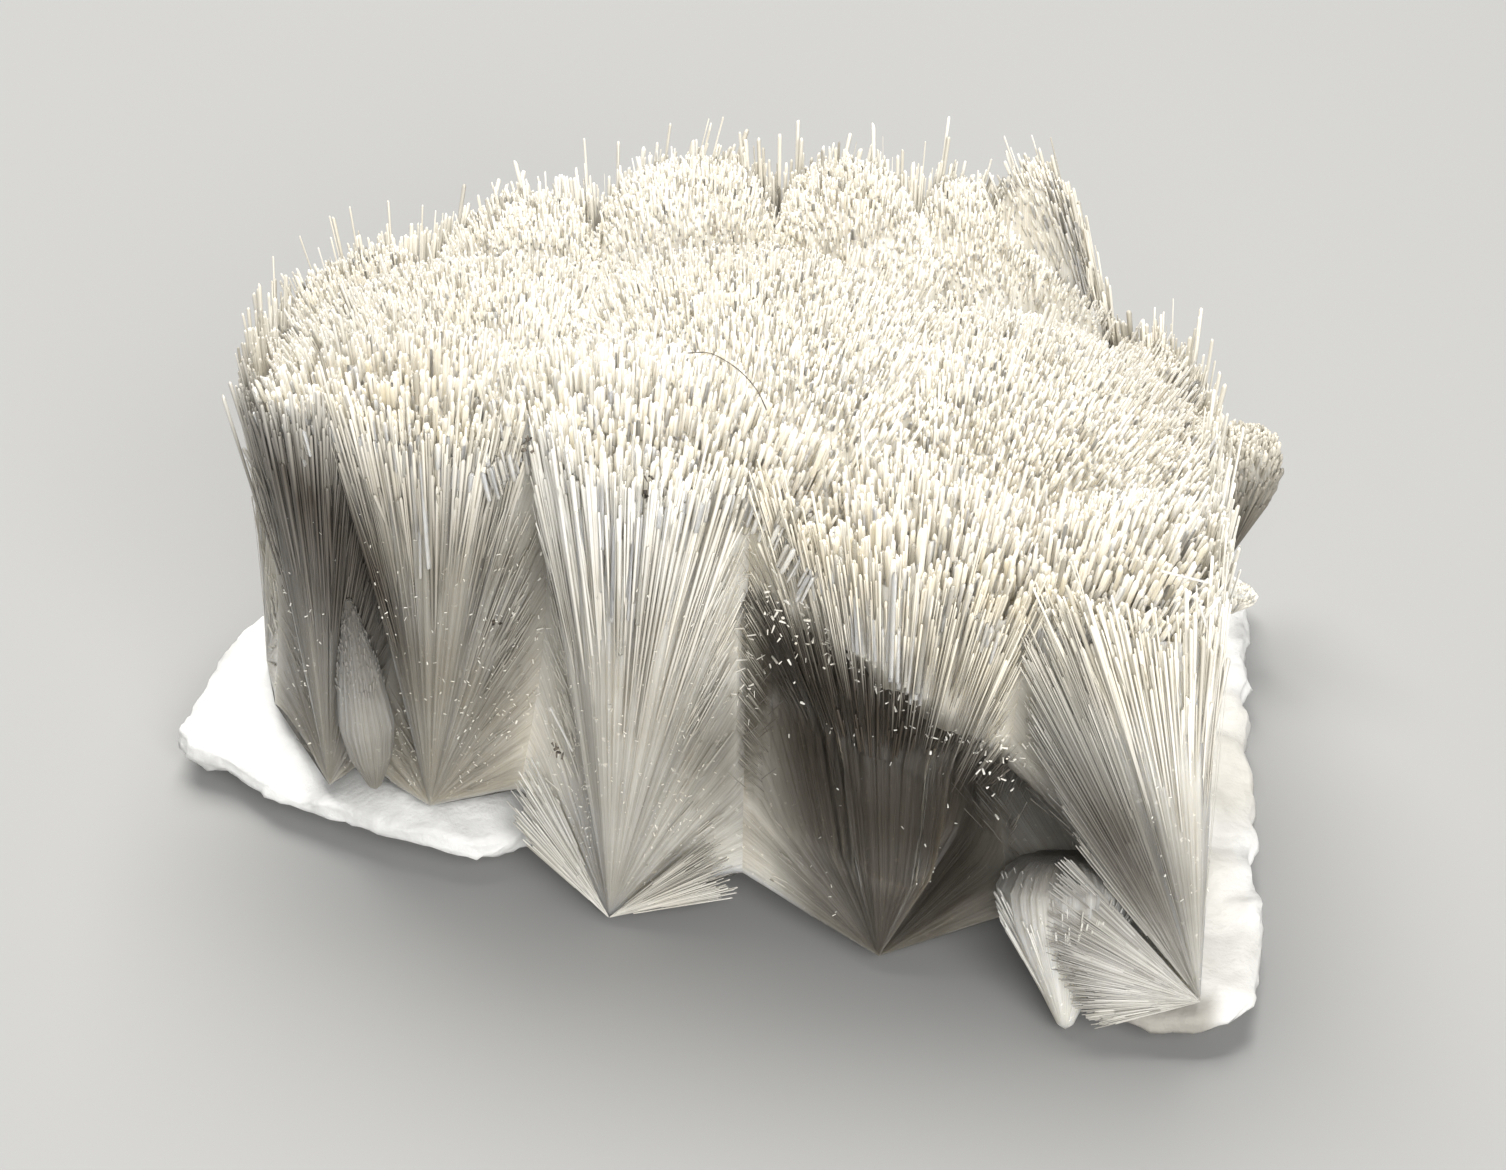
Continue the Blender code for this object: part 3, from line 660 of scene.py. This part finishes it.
def fan_needles(index):
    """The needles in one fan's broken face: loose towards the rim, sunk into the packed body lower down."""
    fan = FANS[index]
    apex = np.array(fan.apex)
    ends, on_rim, out = boundary_of(index, 0.1)
    bare = SEAM_BARE if index in LEFT_FANS else SEAM_BARE_RIGHT
    seam_weight = np.clip((ends[1:, 2] - bare) / SEAM_FULL, *SEAM_SHARES)
    steps = np.linalg.norm(np.diff(ends, axis=0), axis=1) * np.where(on_rim[1:], 1.0, seam_weight)
    total = np.concatenate([[0], np.cumsum(steps)])
    n = int(total[-1] * NEEDLES_PER_MM)
    where = np.interp(rng.uniform(0, total[-1], n), total, np.arange(len(ends)))
    low = np.minimum(where.astype(int), len(ends) - 2)
    part = (where - low)[:, None]
    end = ends[low] * (1 - part) + ends[low + 1] * part + rng.normal(0, SCATTER, (n, 3))
    normal = unit(out[low] * (1 - part) + out[low + 1] * part)
    rim = on_rim[low]
    ray = end - apex
    reach = np.linalg.norm(ray, axis=1)

    # The outer ones end lower, so the carpet's edge is rounded.
    depth = rng.random(n)
    outer, inner, short = (rng.uniform(*limits, n) for limits in (OUTER_ENDS, INNER_ENDS, SHORT_BY))
    lift = np.where(rim, outer * (1 - depth) + inner * depth, -short)
    lift = np.where(rim & (rng.random(n) < TALL_SHARE), rng.uniform(*TALL, n), lift)
    lift = lift - (0.7 * EDGE_DROP if index in FRONT_FANS else 0.0)
    ended = np.maximum(1 + lift / reach, 0.5)
    began = np.where(rng.random(n) < LOW_SHARE, rng.uniform(*STARTS_LOW, n), rng.uniform(*STARTS_HIGH, n))
    began = np.minimum(began, ended - rng.uniform(0.08, 0.2, n))
    fine = began < FINE_BELOW
    began, ended, front, back = break_off(index, apex, ray, began, ended)
    over = front | back

    def off_face(share, by):
        return apex + ray * share[:, None] + normal * (by * np.minimum(1, 0.2 + share))[:, None]

    base = off_face(began, np.where(over, -0.15 - 0.25 * depth, -0.30 - 0.15 * depth))
    tip = off_face(ended, -0.16 * depth + rng.uniform(-0.04, 0.05, n))
    steps = [(began + (ended - began) * t, base + (tip - base) * t) for t in SHADED_AT]
    shade = np.stack([fan_shade(fan, *step) for step in steps], 1)
    shade = shade * rng.uniform(0.9, 1.12, n)[:, None] * np.where(back, BACK_SHADE, 1.0)[:, None]
    shade *= np.where(front[:, None], LIP_SHADES, 1.0)
    width = rng.uniform(*WIDTHS, n) * np.where(fine, FINE_WIDTH, 1.0) * np.where(over, HOLLOW_WIDTH, 1.0)
    root_width = width * np.where(front, LIP_ROOT_WIDTH, ROOT_WIDTH)
    tip_width = width * np.where(rim, 1.0, SEAM_POINT)
    warm = np.clip(fan.warmth + rng.uniform(-0.15, 0.15, n), 0, 1)
    push = np.where(back, CAVITY_DEPTH - 0.1, 0.0)[:, None] * np.array([0.0, 1.0, 0.0])
    lot = (base + push, tip + push, root_width, tip_width, rng.random(n), np.clip(shade, 0, 1), warm)
    return pick(lot, ended - began > 0.04)


# The needle tips of the top. Within BY_SEAM of a front seam they neither end low nor reach deep, so that
# none lies across it, and over the hollow none reaches below OVER_LIP above the lip.

TIP_PITCH, TIP_JITTER = 0.155, 0.08
BY_SEAM, OVER_LIP = 2.7, 0.6


def top_needles(outline):
    """The crowded needle tips all over the top, each pointing away from where its spray starts."""
    xy = lattice(outline, TIP_PITCH, TIP_JITTER)
    n = len(xy)
    start, _, lobe, _ = top_at(xy + rng.normal(0, 0.25, xy.shape))
    _, height, _, edge = top_at(xy)
    base = np.column_stack([xy, height - valley(xy, edge)])
    axis = unit(base - start + rng.normal(0, 0.3, base.shape))
    near, far = frontness(xy), farness(xy)
    base[:, 2] -= EDGE_DROP * near
    lift = rng.uniform(-0.24 - 1.9 * near, 0.14 + 0.40 * near, n)
    lift = np.where(rng.random(n) < 0.035, rng.uniform(0.2, 1.0, n), lift)
    lift *= 1 - 0.35 * far
    seams = np.array([FANS[i].seam for i in FRONT_FANS])
    by_seam = np.linalg.norm(xy[:, None] - seams, axis=2).min(1) < BY_SEAM
    lift = np.where(by_seam, np.maximum(lift, -0.5), lift)
    tip = base + axis * lift[:, None]
    deep = rng.uniform(1.6, 2.3, n) + 1.6 * near
    deep = np.where(by_seam, np.minimum(deep, rng.uniform(0.6, 1.1, n)), deep)
    over = (near > 0.3) & (xy[:, 0] > LIP[0][0]) & (xy[:, 0] < LIP[-1][0])
    above_lip = np.maximum(tip[:, 2] - lip_at(xy[:, 0]) - OVER_LIP, 0.4)
    root = tip - axis * np.where(over, np.minimum(deep, above_lip), deep)[:, None]
    width = rng.uniform(0.08 + 0.03 * near, 0.15 + 0.09 * near, n)
    width = width * np.where(rng.random(n) < 0.06, 1.3, 1.0)
    width *= 1 - 0.22 * far
    # Their roots are painted darker near the broken front, as shade down among the needles.
    ends = np.stack([0.94 - 0.14 * near, 0.94 + rng.uniform(-0.10, 0.06, n)], 1)
    shade = np.clip(ends - 0.13 * far[:, None], 0, 1)
    warm = np.clip(0.5 + 0.25 * far + rng.normal(0, 0.2, n), 0, 1)
    tone = rng.random(n) ** (1 + 0.6 * near)
    return [root, tip, width * 0.8, width, tone, shade, warm], lobe


# Outlines of separate sprays, as shares of their length and of their radius.
CONE = [(0.0, 0.08), (0.2, 0.34), (0.42, 0.66), (0.62, 0.90), (0.79, 1.0), (0.92, 0.82), (1.0, 0.45)]
LENS = [(0.0, 0.15), (0.2, 0.80), (0.36, 1.0), (0.6, 0.78), (0.85, 0.34), (1.0, 0.06)]

# How a spray's needles lie: the share of its radius from which they are on its side, how far out they
# stand there, how uneven their ends are, and how wide they are as a whole and at the tip.
Coat = namedtuple("Coat", "side_from reach uneven wide narrow")
FUZZY, SMOOTH = Coat(0.75, 0.95, 1.0, 1.0, 1.0), Coat(0.0, 1.0, 0.0, 0.7, 0.6)

# Its shades are at the shares of SPRAY_SHADES_AT from its start to its top: painted shade, darker where a
# spray runs into shadow.
SPRAY_SHADES_AT = (0.0, 0.45, 0.75, 0.95)
Spray = namedtuple("Spray", "start top radius rings needles shades warmth coat")
SPRAYS = {
    "front_spray": Spray((8.5, 1.05, 0.3), (8.5, 3.3, 4.7), 2.0, CONE, 200,
        (0.95, 0.92, 0.66, 0.2), 0.1, SMOOTH),
    "cleft_spray": Spray((-10.9, 9.1, 2.45), (-11.3, 9.2, 9.2), 0.85, LENS, 340,
        (0.4, 0.46, 0.27, 0.1), 0.1, SMOOTH),
    "side_spray": Spray((14.9, 20.9, 2.45), (15.45, 21.0, 7.3), 1.25, CONE, 900,
        (0.05, 0.08, 0.4, 0.72), 0.9, FUZZY),
    "small_spray": Spray((14.95, 18.6, 2.25), (15.3, 18.8, 3.1), 0.58, CONE, 260,
        (0.5, 0.8, 0.9, 0.95), 0.4, FUZZY),
}


def spray_frame(spray):
    start, top = np.array(spray.start), np.array(spray.top)
    axis = top - start
    across = unit(np.cross(axis, [0.0, 1.0, 0.0]))
    return start, axis, across, unit(np.cross(across, axis))


def spray_needles(spray):
    """The needles of a separate spray, along its side and, if it is fuzzy, over its top."""
    start, axis, across, up = spray_frame(spray)
    n, coat = spray.needles, spray.coat
    angle = rng.uniform(0, 2 * math.pi, n)
    place = rng.random(n) ** 0.5
    shares, widths = np.array(spray.rings).T
    side = place > coat.side_from
    level = np.where(side, rng.uniform(0.55, 0.93, n), 0.93 + 0.10 * (1 - place))
    reach = spray.radius * np.where(side, np.interp(level, shares, widths) * coat.reach, place)
    out = across * np.cos(angle)[:, None] + up * np.sin(angle)[:, None]
    tip = start + axis * level[:, None] + out * reach[:, None]
    tip += unit(tip - start) * (rng.uniform(-0.16, 0.20, n) * spray.radius * coat.uneven)[:, None]
    began = np.where(rng.random(n) < 0.5, 0.03, rng.uniform(0.05, 0.7, n))
    base = start + (tip - start) * began[:, None]
    width = rng.uniform(0.10, 0.22, n) * min(1.0, 0.5 + spray.radius / 2.5) * coat.wide
    shade = np.stack([np.interp(at, SPRAY_SHADES_AT, spray.shades) for at in (began * level, level)], 1)
    shade = np.clip(shade * rng.uniform(0.8, 1.15, n)[:, None], 0, 1)
    root_width = width * np.clip(began + 0.2, 0.2, 1)
    return base, tip, root_width, width * coat.narrow, rng.random(n), shade, np.full(n, spray.warmth)


SPRAY_AROUND, SPRAY_LEVELS, SPRAY_HEIGHT = 96, 18, 0.96


def spray_core(name, spray):
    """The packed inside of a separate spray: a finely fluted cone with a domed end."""
    start, axis, across, up = spray_frame(spray)
    around, levels = SPRAY_AROUND, np.linspace(0.03, 1.0, SPRAY_LEVELS)
    angle = np.arange(around) * 2 * math.pi / around
    flute = 1 + 0.04 * rng.uniform(-1, 1, around) + 0.05 * smooth_noise(around, 6)
    out = across * np.cos(angle)[:, None] + up * np.sin(angle)[:, None]
    shares, widths = np.array(spray.rings).T
    points, along = [start[None]], [np.zeros(1)]
    for share in levels:
        reach = spray.radius * np.interp(share * SPRAY_HEIGHT, shares, widths) * 0.93 * flute
        points.append(start + axis * share * SPRAY_HEIGHT + out * reach[:, None])
        along.append(np.full(around, share))
    points.append((start + axis * SPRAY_HEIGHT * 1.01)[None])
    along.append(np.ones(1))
    points, along = np.concatenate(points), np.concatenate(along)
    faces = []
    last = 1 + len(levels) * around
    for k in range(around):
        j = (k + 1) % around
        faces.append((0, 1 + j, 1 + k))
        for level in range(len(levels) - 1):
            low, high = 1 + level * around, 1 + (level + 1) * around
            faces.append((low + k, low + j, high + j, high + k))
        faces.append((last - around + k, last - around + j, last))
    loops, totals = faces_to_arrays(faces)
    values = {
        "shade": np.interp(along, SPRAY_SHADES_AT, spray.shades),
        "tone": np.full(len(points), 0.8),
        "warm": np.full(len(points), spray.warmth),
        "arc": np.concatenate([[0], np.tile(angle * 3, len(levels)), [0]]),
        "along": along,
    }
    return new_mesh(name, points, loops, totals, values, core_material)


# Sheets of fine streaks over the front: start, line of ends, needles, widths, brightness at start and end,
# lower at the start as painted shade, warmth, and how far the ends stray from their line.
TOE_ENDS = [(9.3, 0.6, 0.8), (8.7, 0.58, 1.6), (8.2, 0.6, 2.6),
            (7.9, 0.78, 3.6), (7.9, 1.22, 4.6), (8.3, 1.85, 5.6)]
SEAM_ENDS = [(8.8, 1.9, 5.6), (8.1, 2.4, 7.2), (7.4, 2.65, 8.8),
             (7.1, 2.65, 10.4), (7.1, 2.6, 12.0), (8.0, 2.3, 13.4)]
FOOT_LEFT = [(-6.9, 7.6, 2.2), (-6.6, 7.4, 3.4), (-6.2, 7.0, 5.0)]
FOOT_RIGHT = [(-0.6, 5.6, 1.5), (-0.8, 5.5, 2.4), (-1.2, 5.3, 3.6)]
SHEAVES = [
    ((12.0, 0.42, 1.8), TOE_ENDS, 700, (0.04, 0.12), (0.66, 0.84), 0.2, 0.06),
    ((12.0, 0.45, 1.85), SEAM_ENDS, 700, (0.05, 0.15), (0.48, 0.84), 0.5, 0.08),
    ((-4.1, 5.9, 0.3), FOOT_LEFT, 160, (0.05, 0.16), (0.75, 0.8), 0.1, 0.12),
    ((-4.1, 5.9, 0.3), FOOT_RIGHT, 160, (0.05, 0.16), (0.8, 0.85), 0.1, 0.12),
]


def sheaf(start, ends, n, width, shades, warmth, loose):
    """A thin sheet of fine, tapering needles from one start to a line of ends."""
    start, ends = np.array(start), np.array(ends, float)
    where = rng.uniform(0, len(ends) - 1, n)
    low = np.minimum(where.astype(int), len(ends) - 2)
    part = (where - low)[:, None]
    ray = ends[low] * (1 - part) + ends[low + 1] * part + rng.normal(0, loose, (n, 3)) - start
    began, ended = rng.uniform(0.0, 0.55, n), rng.uniform(0.72, 1.03, n)
    wide = rng.uniform(*width, n)
    base, tip = start + ray * began[:, None], start + ray * ended[:, None]
    lit = []
    # Each is darkened along its length by the painted shadows of the front.
    for t in SHADED_AT:
        plain = np.interp(began + (ended - began) * t, (0, 1), shades)
        lit.append(plain * painted_shade_factor(base + (tip - base) * t))
    lit = np.clip(np.stack(lit, 1) * rng.uniform(0.75, 1.1, n)[:, None], 0, 1)
    root_width, tip_width = wide * (0.25 + 0.75 * began), wide * 0.45
    return needles(base, tip, root_width, tip_width, rng.random(n), lit, np.full(n, warmth), segments=4)


def bits(places, length, width, shade):
    """Small broken pieces, lying at random."""
    n = len(places)
    way = unit(rng.normal(0, 1, (n, 3)))
    half = 0.5 * way * rng.uniform(*length, n)[:, None]
    wide = rng.uniform(*width, n)
    lit = np.clip(shade + rng.uniform(-0.08, 0.08, n), 0, 1)
    tip_width, tone = wide * rng.uniform(0.5, 1.0, n), rng.uniform(0.4, 1, n)
    return needles(places - half, places + half, wide, tip_width, tone, lit, np.full(n, 0.2))


def on_fan(index, n, low, high):
    """Random places on a fan's face, some way up it."""
    fan = FANS[index]
    ends, _, out = boundary_of(index, 0.1)
    which = rng.integers(10, len(ends) - 10, n)
    share = rng.uniform(low, high, n)[:, None]
    place = np.array(fan.apex) + (ends[which] - fan.apex) * share + out[which] * 0.05
    place[:, 1] += worn_at(place)
    return place


# Crumbs of broken needle: how many on each front fan and along the lip, X and Y of the front there, and for
# two seams the fan before, which of its SEAM_STEPS, how many crumbs, how far they stray and stand forward,
# their lengths and their brightness.
CRUMBS_ON_FANS = (60, 330, 260, 60, 160)
CRUMBS_ON_LIP = 240
FRONT_AT_LIP = [(0.4, 4.9), (3.5, 3.75), (7.2, 3.2)]
SEAM_STEPS = 40
SEAM_CRUMBS = [
    (2, slice(4, 26), 120, (0.45, 0.2, 0.3), 0.1, (0.06, 0.32), 0.8),
    (1, slice(10, 34), 90, (0.3, 0.12, 0.3), 0.0, (0.04, 0.2), 0.9),
]


def make_crumbs():
    """Glinting crumbs of broken needle all over the front, thickest along the lip and in the seams."""
    lots = []
    for index, n in enumerate(CRUMBS_ON_FANS):
        lots.append(bits(on_fan(index, n, 0.25, 0.8), (0.03, 0.12), (0.02, 0.06), 0.95))
    xs, ys = zip(*FRONT_AT_LIP)
    x = rng.uniform(xs[0], xs[-1], CRUMBS_ON_LIP)
    lip = np.column_stack([x, np.interp(x, xs, ys), lip_at(x) + 0.4])
    lots.append(bits(lip + rng.normal(0, (0.2, 0.08, 0.6), lip.shape), (0.05, 0.24), (0.03, 0.10), 0.95))
    for index, steps, n, stray, forward, length, shade in SEAM_CRUMBS:
        seam = seam_line(index, SEAM_STEPS)[steps]
        place = seam[rng.integers(0, len(seam), n)] + rng.normal(0, stray, (n, 3)) - [0.0, forward, 0.0]
        lots.append(bits(place, length, (0.03, 0.08), shade))
    return lots


LOOSE_NEEDLES = [
    ((10.3, 2.35, 14.3), (11.5, 2.1, 14.1)),
    ((11.3, 2.1, 13.5), (11.5, 1.9, 12.9)),
    ((-5.6, 6.9, 6.9), (-5.0, 6.6, 5.6)),
]
GRAINS = [
    (-6.99, 7.15, 9.46), (-5.81, 6.3, 15.9), (-5.9, 6.3, 15.5), (-2.68, 4.3, 15.9),
    (-2.72, 4.3, 15.4), (-5.53, 7.1, 5.4), (-5.4, 7.0, 5.2),
]
LINT = [(-1.7, 7.9, 17.5), (-1.1, 7.7, 17.6), (-0.4, 7.4, 17.3), (0.1, 7.0, 16.9), (0.4, 6.6, 16.4)]
LINT_WIDTH = 0.035


def make_loose():
    """A few whole needles that lie across the carpet."""
    base, tip = np.array(LOOSE_NEEDLES).transpose(1, 0, 2)
    full = np.ones(len(base))
    return needles(base, tip, full * 0.09, full * 0.08, full, full, full * 0, sides=5)


def make_dirt():
    """Dark grains caught between the needles, and a hair of lint on top."""
    places = np.repeat(np.array(GRAINS), 3, axis=0)
    grains = bits(places + rng.normal(0, 0.05, places.shape), (0.08, 0.22), (0.06, 0.13), 0.1)
    line = []
    for i in range(len(LINT) - 1):
        near = [LINT[max(i - 1, 0)], LINT[i], LINT[i + 1], LINT[min(i + 2, len(LINT) - 1)]]
        line.extend(catmull(*near, t) for t in np.arange(0, 1, 0.25))
    line = np.array(line)
    full = np.ones(len(line) - 1)
    width = full * LINT_WIDTH
    return [grains, needles(line[:-1], line[1:], width, width, full * 0, full * 0.3, full * 0)]


def make_dirt_material():
    material, tree, shader = new_material("dark_grains")
    speckle = clouds(tree, object_place(tree), Scale=6000.0, Detail=3.0)
    colour = ramp(tree, speckle, [(0.4, (0.035, 0.028, 0.022)), (0.6, (0.13, 0.11, 0.085))])
    tree.links.new(colour, shader.inputs["Base Color"])
    shader.inputs["Roughness"].default_value = 0.7
    return material


def pick(lot, mask):
    return [a[mask] for a in lot]


# The pieces: the tips by lobe, and the fans, with the number of lengths that a needle longer than LONG is
# shaded in. Some needles are clear, but in the fans none whose foot is in the dark.

LONG = 3.0
CLEAR_TIPS, CLEAR_IN_FANS, CLEAR_FROM_SHADE = 0.10, 0.08, 0.3
TIP_PIECES = [
    ("front_tips", (0, 1, 2, 3, 4)),
    ("middle_tips", (5, 6, 14, 15, 17)),
    ("back_tips", (7, 8, 9, 10, 11, 12, 13, 16)),
]
FAN_PIECES = [
    ("left_fans", (0, 1), 3),
    ("centre_fan", (2,), 3),
    ("right_fans", (3, 4, 5), 3),
    ("back_fans", range(6, 13), 1),
]
FRONT_LINE = np.concatenate([rim_of(i, 0.4) for i in FRONT_FANS])
core = make_core()
pieces = {"packed_body": core}
tips, lobe_of = top_needles(np.concatenate([rim_of(i, 0.2) for i in range(len(FANS))]))
clear = rng.random(len(tips[0])) < CLEAR_TIPS
clear_parts = [needles(*pick(tips, clear))]
for name, lobes in TIP_PIECES:
    chosen = ~clear & np.isin(lobe_of, lobes)
    pieces[name] = join(name, [needles(*pick(tips, chosen))], top_material)
for name, fans, lengths in FAN_PIECES:
    parts = []
    for i in fans:
        lot = fan_needles(i)
        base, tip, shade = lot[0], lot[1], lot[5]
        glassy = (rng.random(len(base)) < CLEAR_IN_FANS) & (shade[:, 0] > CLEAR_FROM_SHADE)
        long = np.linalg.norm(tip - base, axis=1) > LONG
        for chosen, lots in ((glassy, clear_parts), (~glassy, parts)):
            lots.append(needles(*pick(lot, chosen & ~long)))
            lots.append(needles(*pick(lot, chosen & long), segments=lengths))
    pieces[name] = join(name, parts, fan_material)
pieces["clear_needles"] = join("clear_needles", clear_parts, clear_material)
pieces["front_streaks"] = join("front_streaks", [sheaf(*row) for row in SHEAVES], fan_material)
pieces["loose_needles"] = join("loose_needles", [make_loose()], top_material)
pieces["dark_grains"] = join("dark_grains", make_dirt(), make_dirt_material())
pieces["crumbs"] = join("crumbs", make_crumbs(), fan_material)
for name, spray in SPRAYS.items():
    pieces[name + "_body"] = spray_core(name + "_body", spray)
    pieces[name] = join(name, [needles(*spray_needles(spray))], fan_material)


# The matrix: the CAD plate's own surface, made finer and grainy.

MATRIX_WHITES = [(0.30, (0.50, 0.50, 0.49)), (0.5, (0.66, 0.66, 0.65)), (0.7, (0.74, 0.74, 0.73))]
MATRIX_STAINS = [(0.56, WHITE), (0.74, (0.80, 0.76, 0.68))]
# Painted shade under the overhanging toe at the plate's front right.
TOE_SHADE_COLOUR = (0.30, 0.285, 0.255, 1.0)


def make_matrix_material():
    material, tree, shader = new_material("matrix_white")
    where = object_place(tree)
    colour = ramp(tree, clouds(tree, where, Scale=260.0, Detail=5.0, Roughness=0.6), MATRIX_WHITES)
    stains = ramp(tree, clouds(tree, where, Scale=110.0, Detail=3.0), MATRIX_STAINS)
    colour = mix(tree, "MULTIPLY", 0.7, colour, stains)
    colour = mix(tree, "MIX", attribute(tree, "toe_shade"), colour, TOE_SHADE_COLOUR)
    tree.links.new(colour, shader.inputs["Base Color"])
    shader.inputs["Roughness"].default_value = 0.75
    roughen(tree, shader, clouds(tree, where, Scale=2600.0, Detail=5.0, Roughness=0.65), 0.5, 0.00012)
    return material


def make_matrix():
    """The plate with its underside kept flat, lumps and grit above it, and painted shade under the toe in
    front.
    """
    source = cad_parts["matrix"]
    work = bmesh.new()
    work.from_mesh(source.data)
    bmesh.ops.remove_doubles(work, verts=work.verts, dist=1e-7)
    for _ in range(2):
        bmesh.ops.subdivide_edges(work, edges=work.edges, cuts=1, use_grid_fill=True)
    bmesh.ops.triangulate(work, faces=work.faces)
    work.normal_update()
    for vert in work.verts:
        x, y, z = vert.co / MM
        raised = min(1.0, max(0.0, (z - 0.02) / 0.3))
        lump = noise.fractal(Vector((x, y, z)) * 0.9, 0.8, 2.0, 4) * 0.10
        grit = noise.noise(Vector((x, y, z)) * 3.1) * 0.05
        vert.co += vert.normal * (1.3 * lump + grit) * raised * MM
    mesh = bpy.data.meshes.new("white_matrix")
    work.to_mesh(mesh)
    work.free()
    places = np.empty(len(mesh.vertices) * 3)
    mesh.vertices.foreach_get("co", places)
    x, y, z = (places.reshape(-1, 3) / MM - SHIFT).T
    # Painted shade where the toe overhangs the plate's front right.
    toe_shade = ease((x - 8.5) / 1.0) * ease((12.9 - x) / 0.8) * ease((1.6 - y) / 0.9) * ease((2.0 - z) / 0.5)
    mesh.attributes.new("toe_shade", "FLOAT", "POINT").data.foreach_set("value", toe_shade.astype(np.float32))
    mesh.shade_smooth()
    mesh.materials.append(make_matrix_material())
    return link("white_matrix", mesh)


matrix = make_matrix()
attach(matrix, "root")
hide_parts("matrix")

for piece in pieces.values():
    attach(piece, "root")
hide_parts("artinite_sprays")
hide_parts("side_tuft")
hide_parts("small_tuft")


# The floor, the light and the camera.

bpy.ops.mesh.primitive_plane_add(size=1.2)
floor = bpy.context.object
floor.name = "floor"
material, tree, shader = new_material("pale_floor")
shader.inputs["Base Color"].default_value = (0.27, 0.27, 0.267, 1.0)
shader.inputs["Roughness"].default_value = 0.8
floor.data.materials.append(material)

target = (np.array([0.0, 11.4, 8.0]) + SHIFT) * MM
LIGHTS = [
    ("key", (-0.03, 0.10, 0.28), 0.24, 1.8, (1.0, 0.985, 0.955)),
    ("fill", (0.08, -0.32, 0.18), 0.25, 1.95, (1.0, 0.99, 0.97)),
]
for name, place, size, power, colour in LIGHTS:
    light = bpy.data.lights.new(name, "AREA")
    light.size = size
    light.energy = power
    light.color = colour
    lamp = link(name, light)
    lamp.location = place
    lamp.rotation_mode = "QUATERNION"
    lamp.rotation_quaternion = (Vector(target) - Vector(place)).to_track_quat("-Z", "Y")
world = bpy.data.worlds.new("studio")
world.use_nodes = True
background = world.node_tree.nodes["Background"]
background.inputs["Color"].default_value = (0.80, 0.82, 0.85, 1.0)
background.inputs["Strength"].default_value = 0.30
bpy.context.scene.world = world
bpy.context.scene.view_settings.view_transform = "Standard"

# The camera looks down by ELEVATION from DISTANCE. The photograph is PHOTO_WIDTH pixels wide.
ELEVATION, DISTANCE = math.radians(33.0), 95.0
PHOTO_WIDTH, PIXELS_PER_MM, SENSOR = 1506.0, 35.0, 36.0
back = np.array([0.0, -math.cos(ELEVATION), math.sin(ELEVATION)])
camera_data = bpy.data.cameras.new("camera")
camera_data.sensor_fit = "HORIZONTAL"
camera_data.sensor_width = SENSOR
camera_data.lens = SENSOR * PIXELS_PER_MM * DISTANCE / PHOTO_WIDTH
camera_data.clip_start = 0.005
camera_data.clip_end = 5.0
camera = link("camera", camera_data)
camera.location = target + back * DISTANCE * MM
camera.rotation_mode = "QUATERNION"
camera.rotation_quaternion = Vector(-back).to_track_quat("-Z", "Y")
bpy.context.scene.camera = camera

bpy.context.view_layer.update()
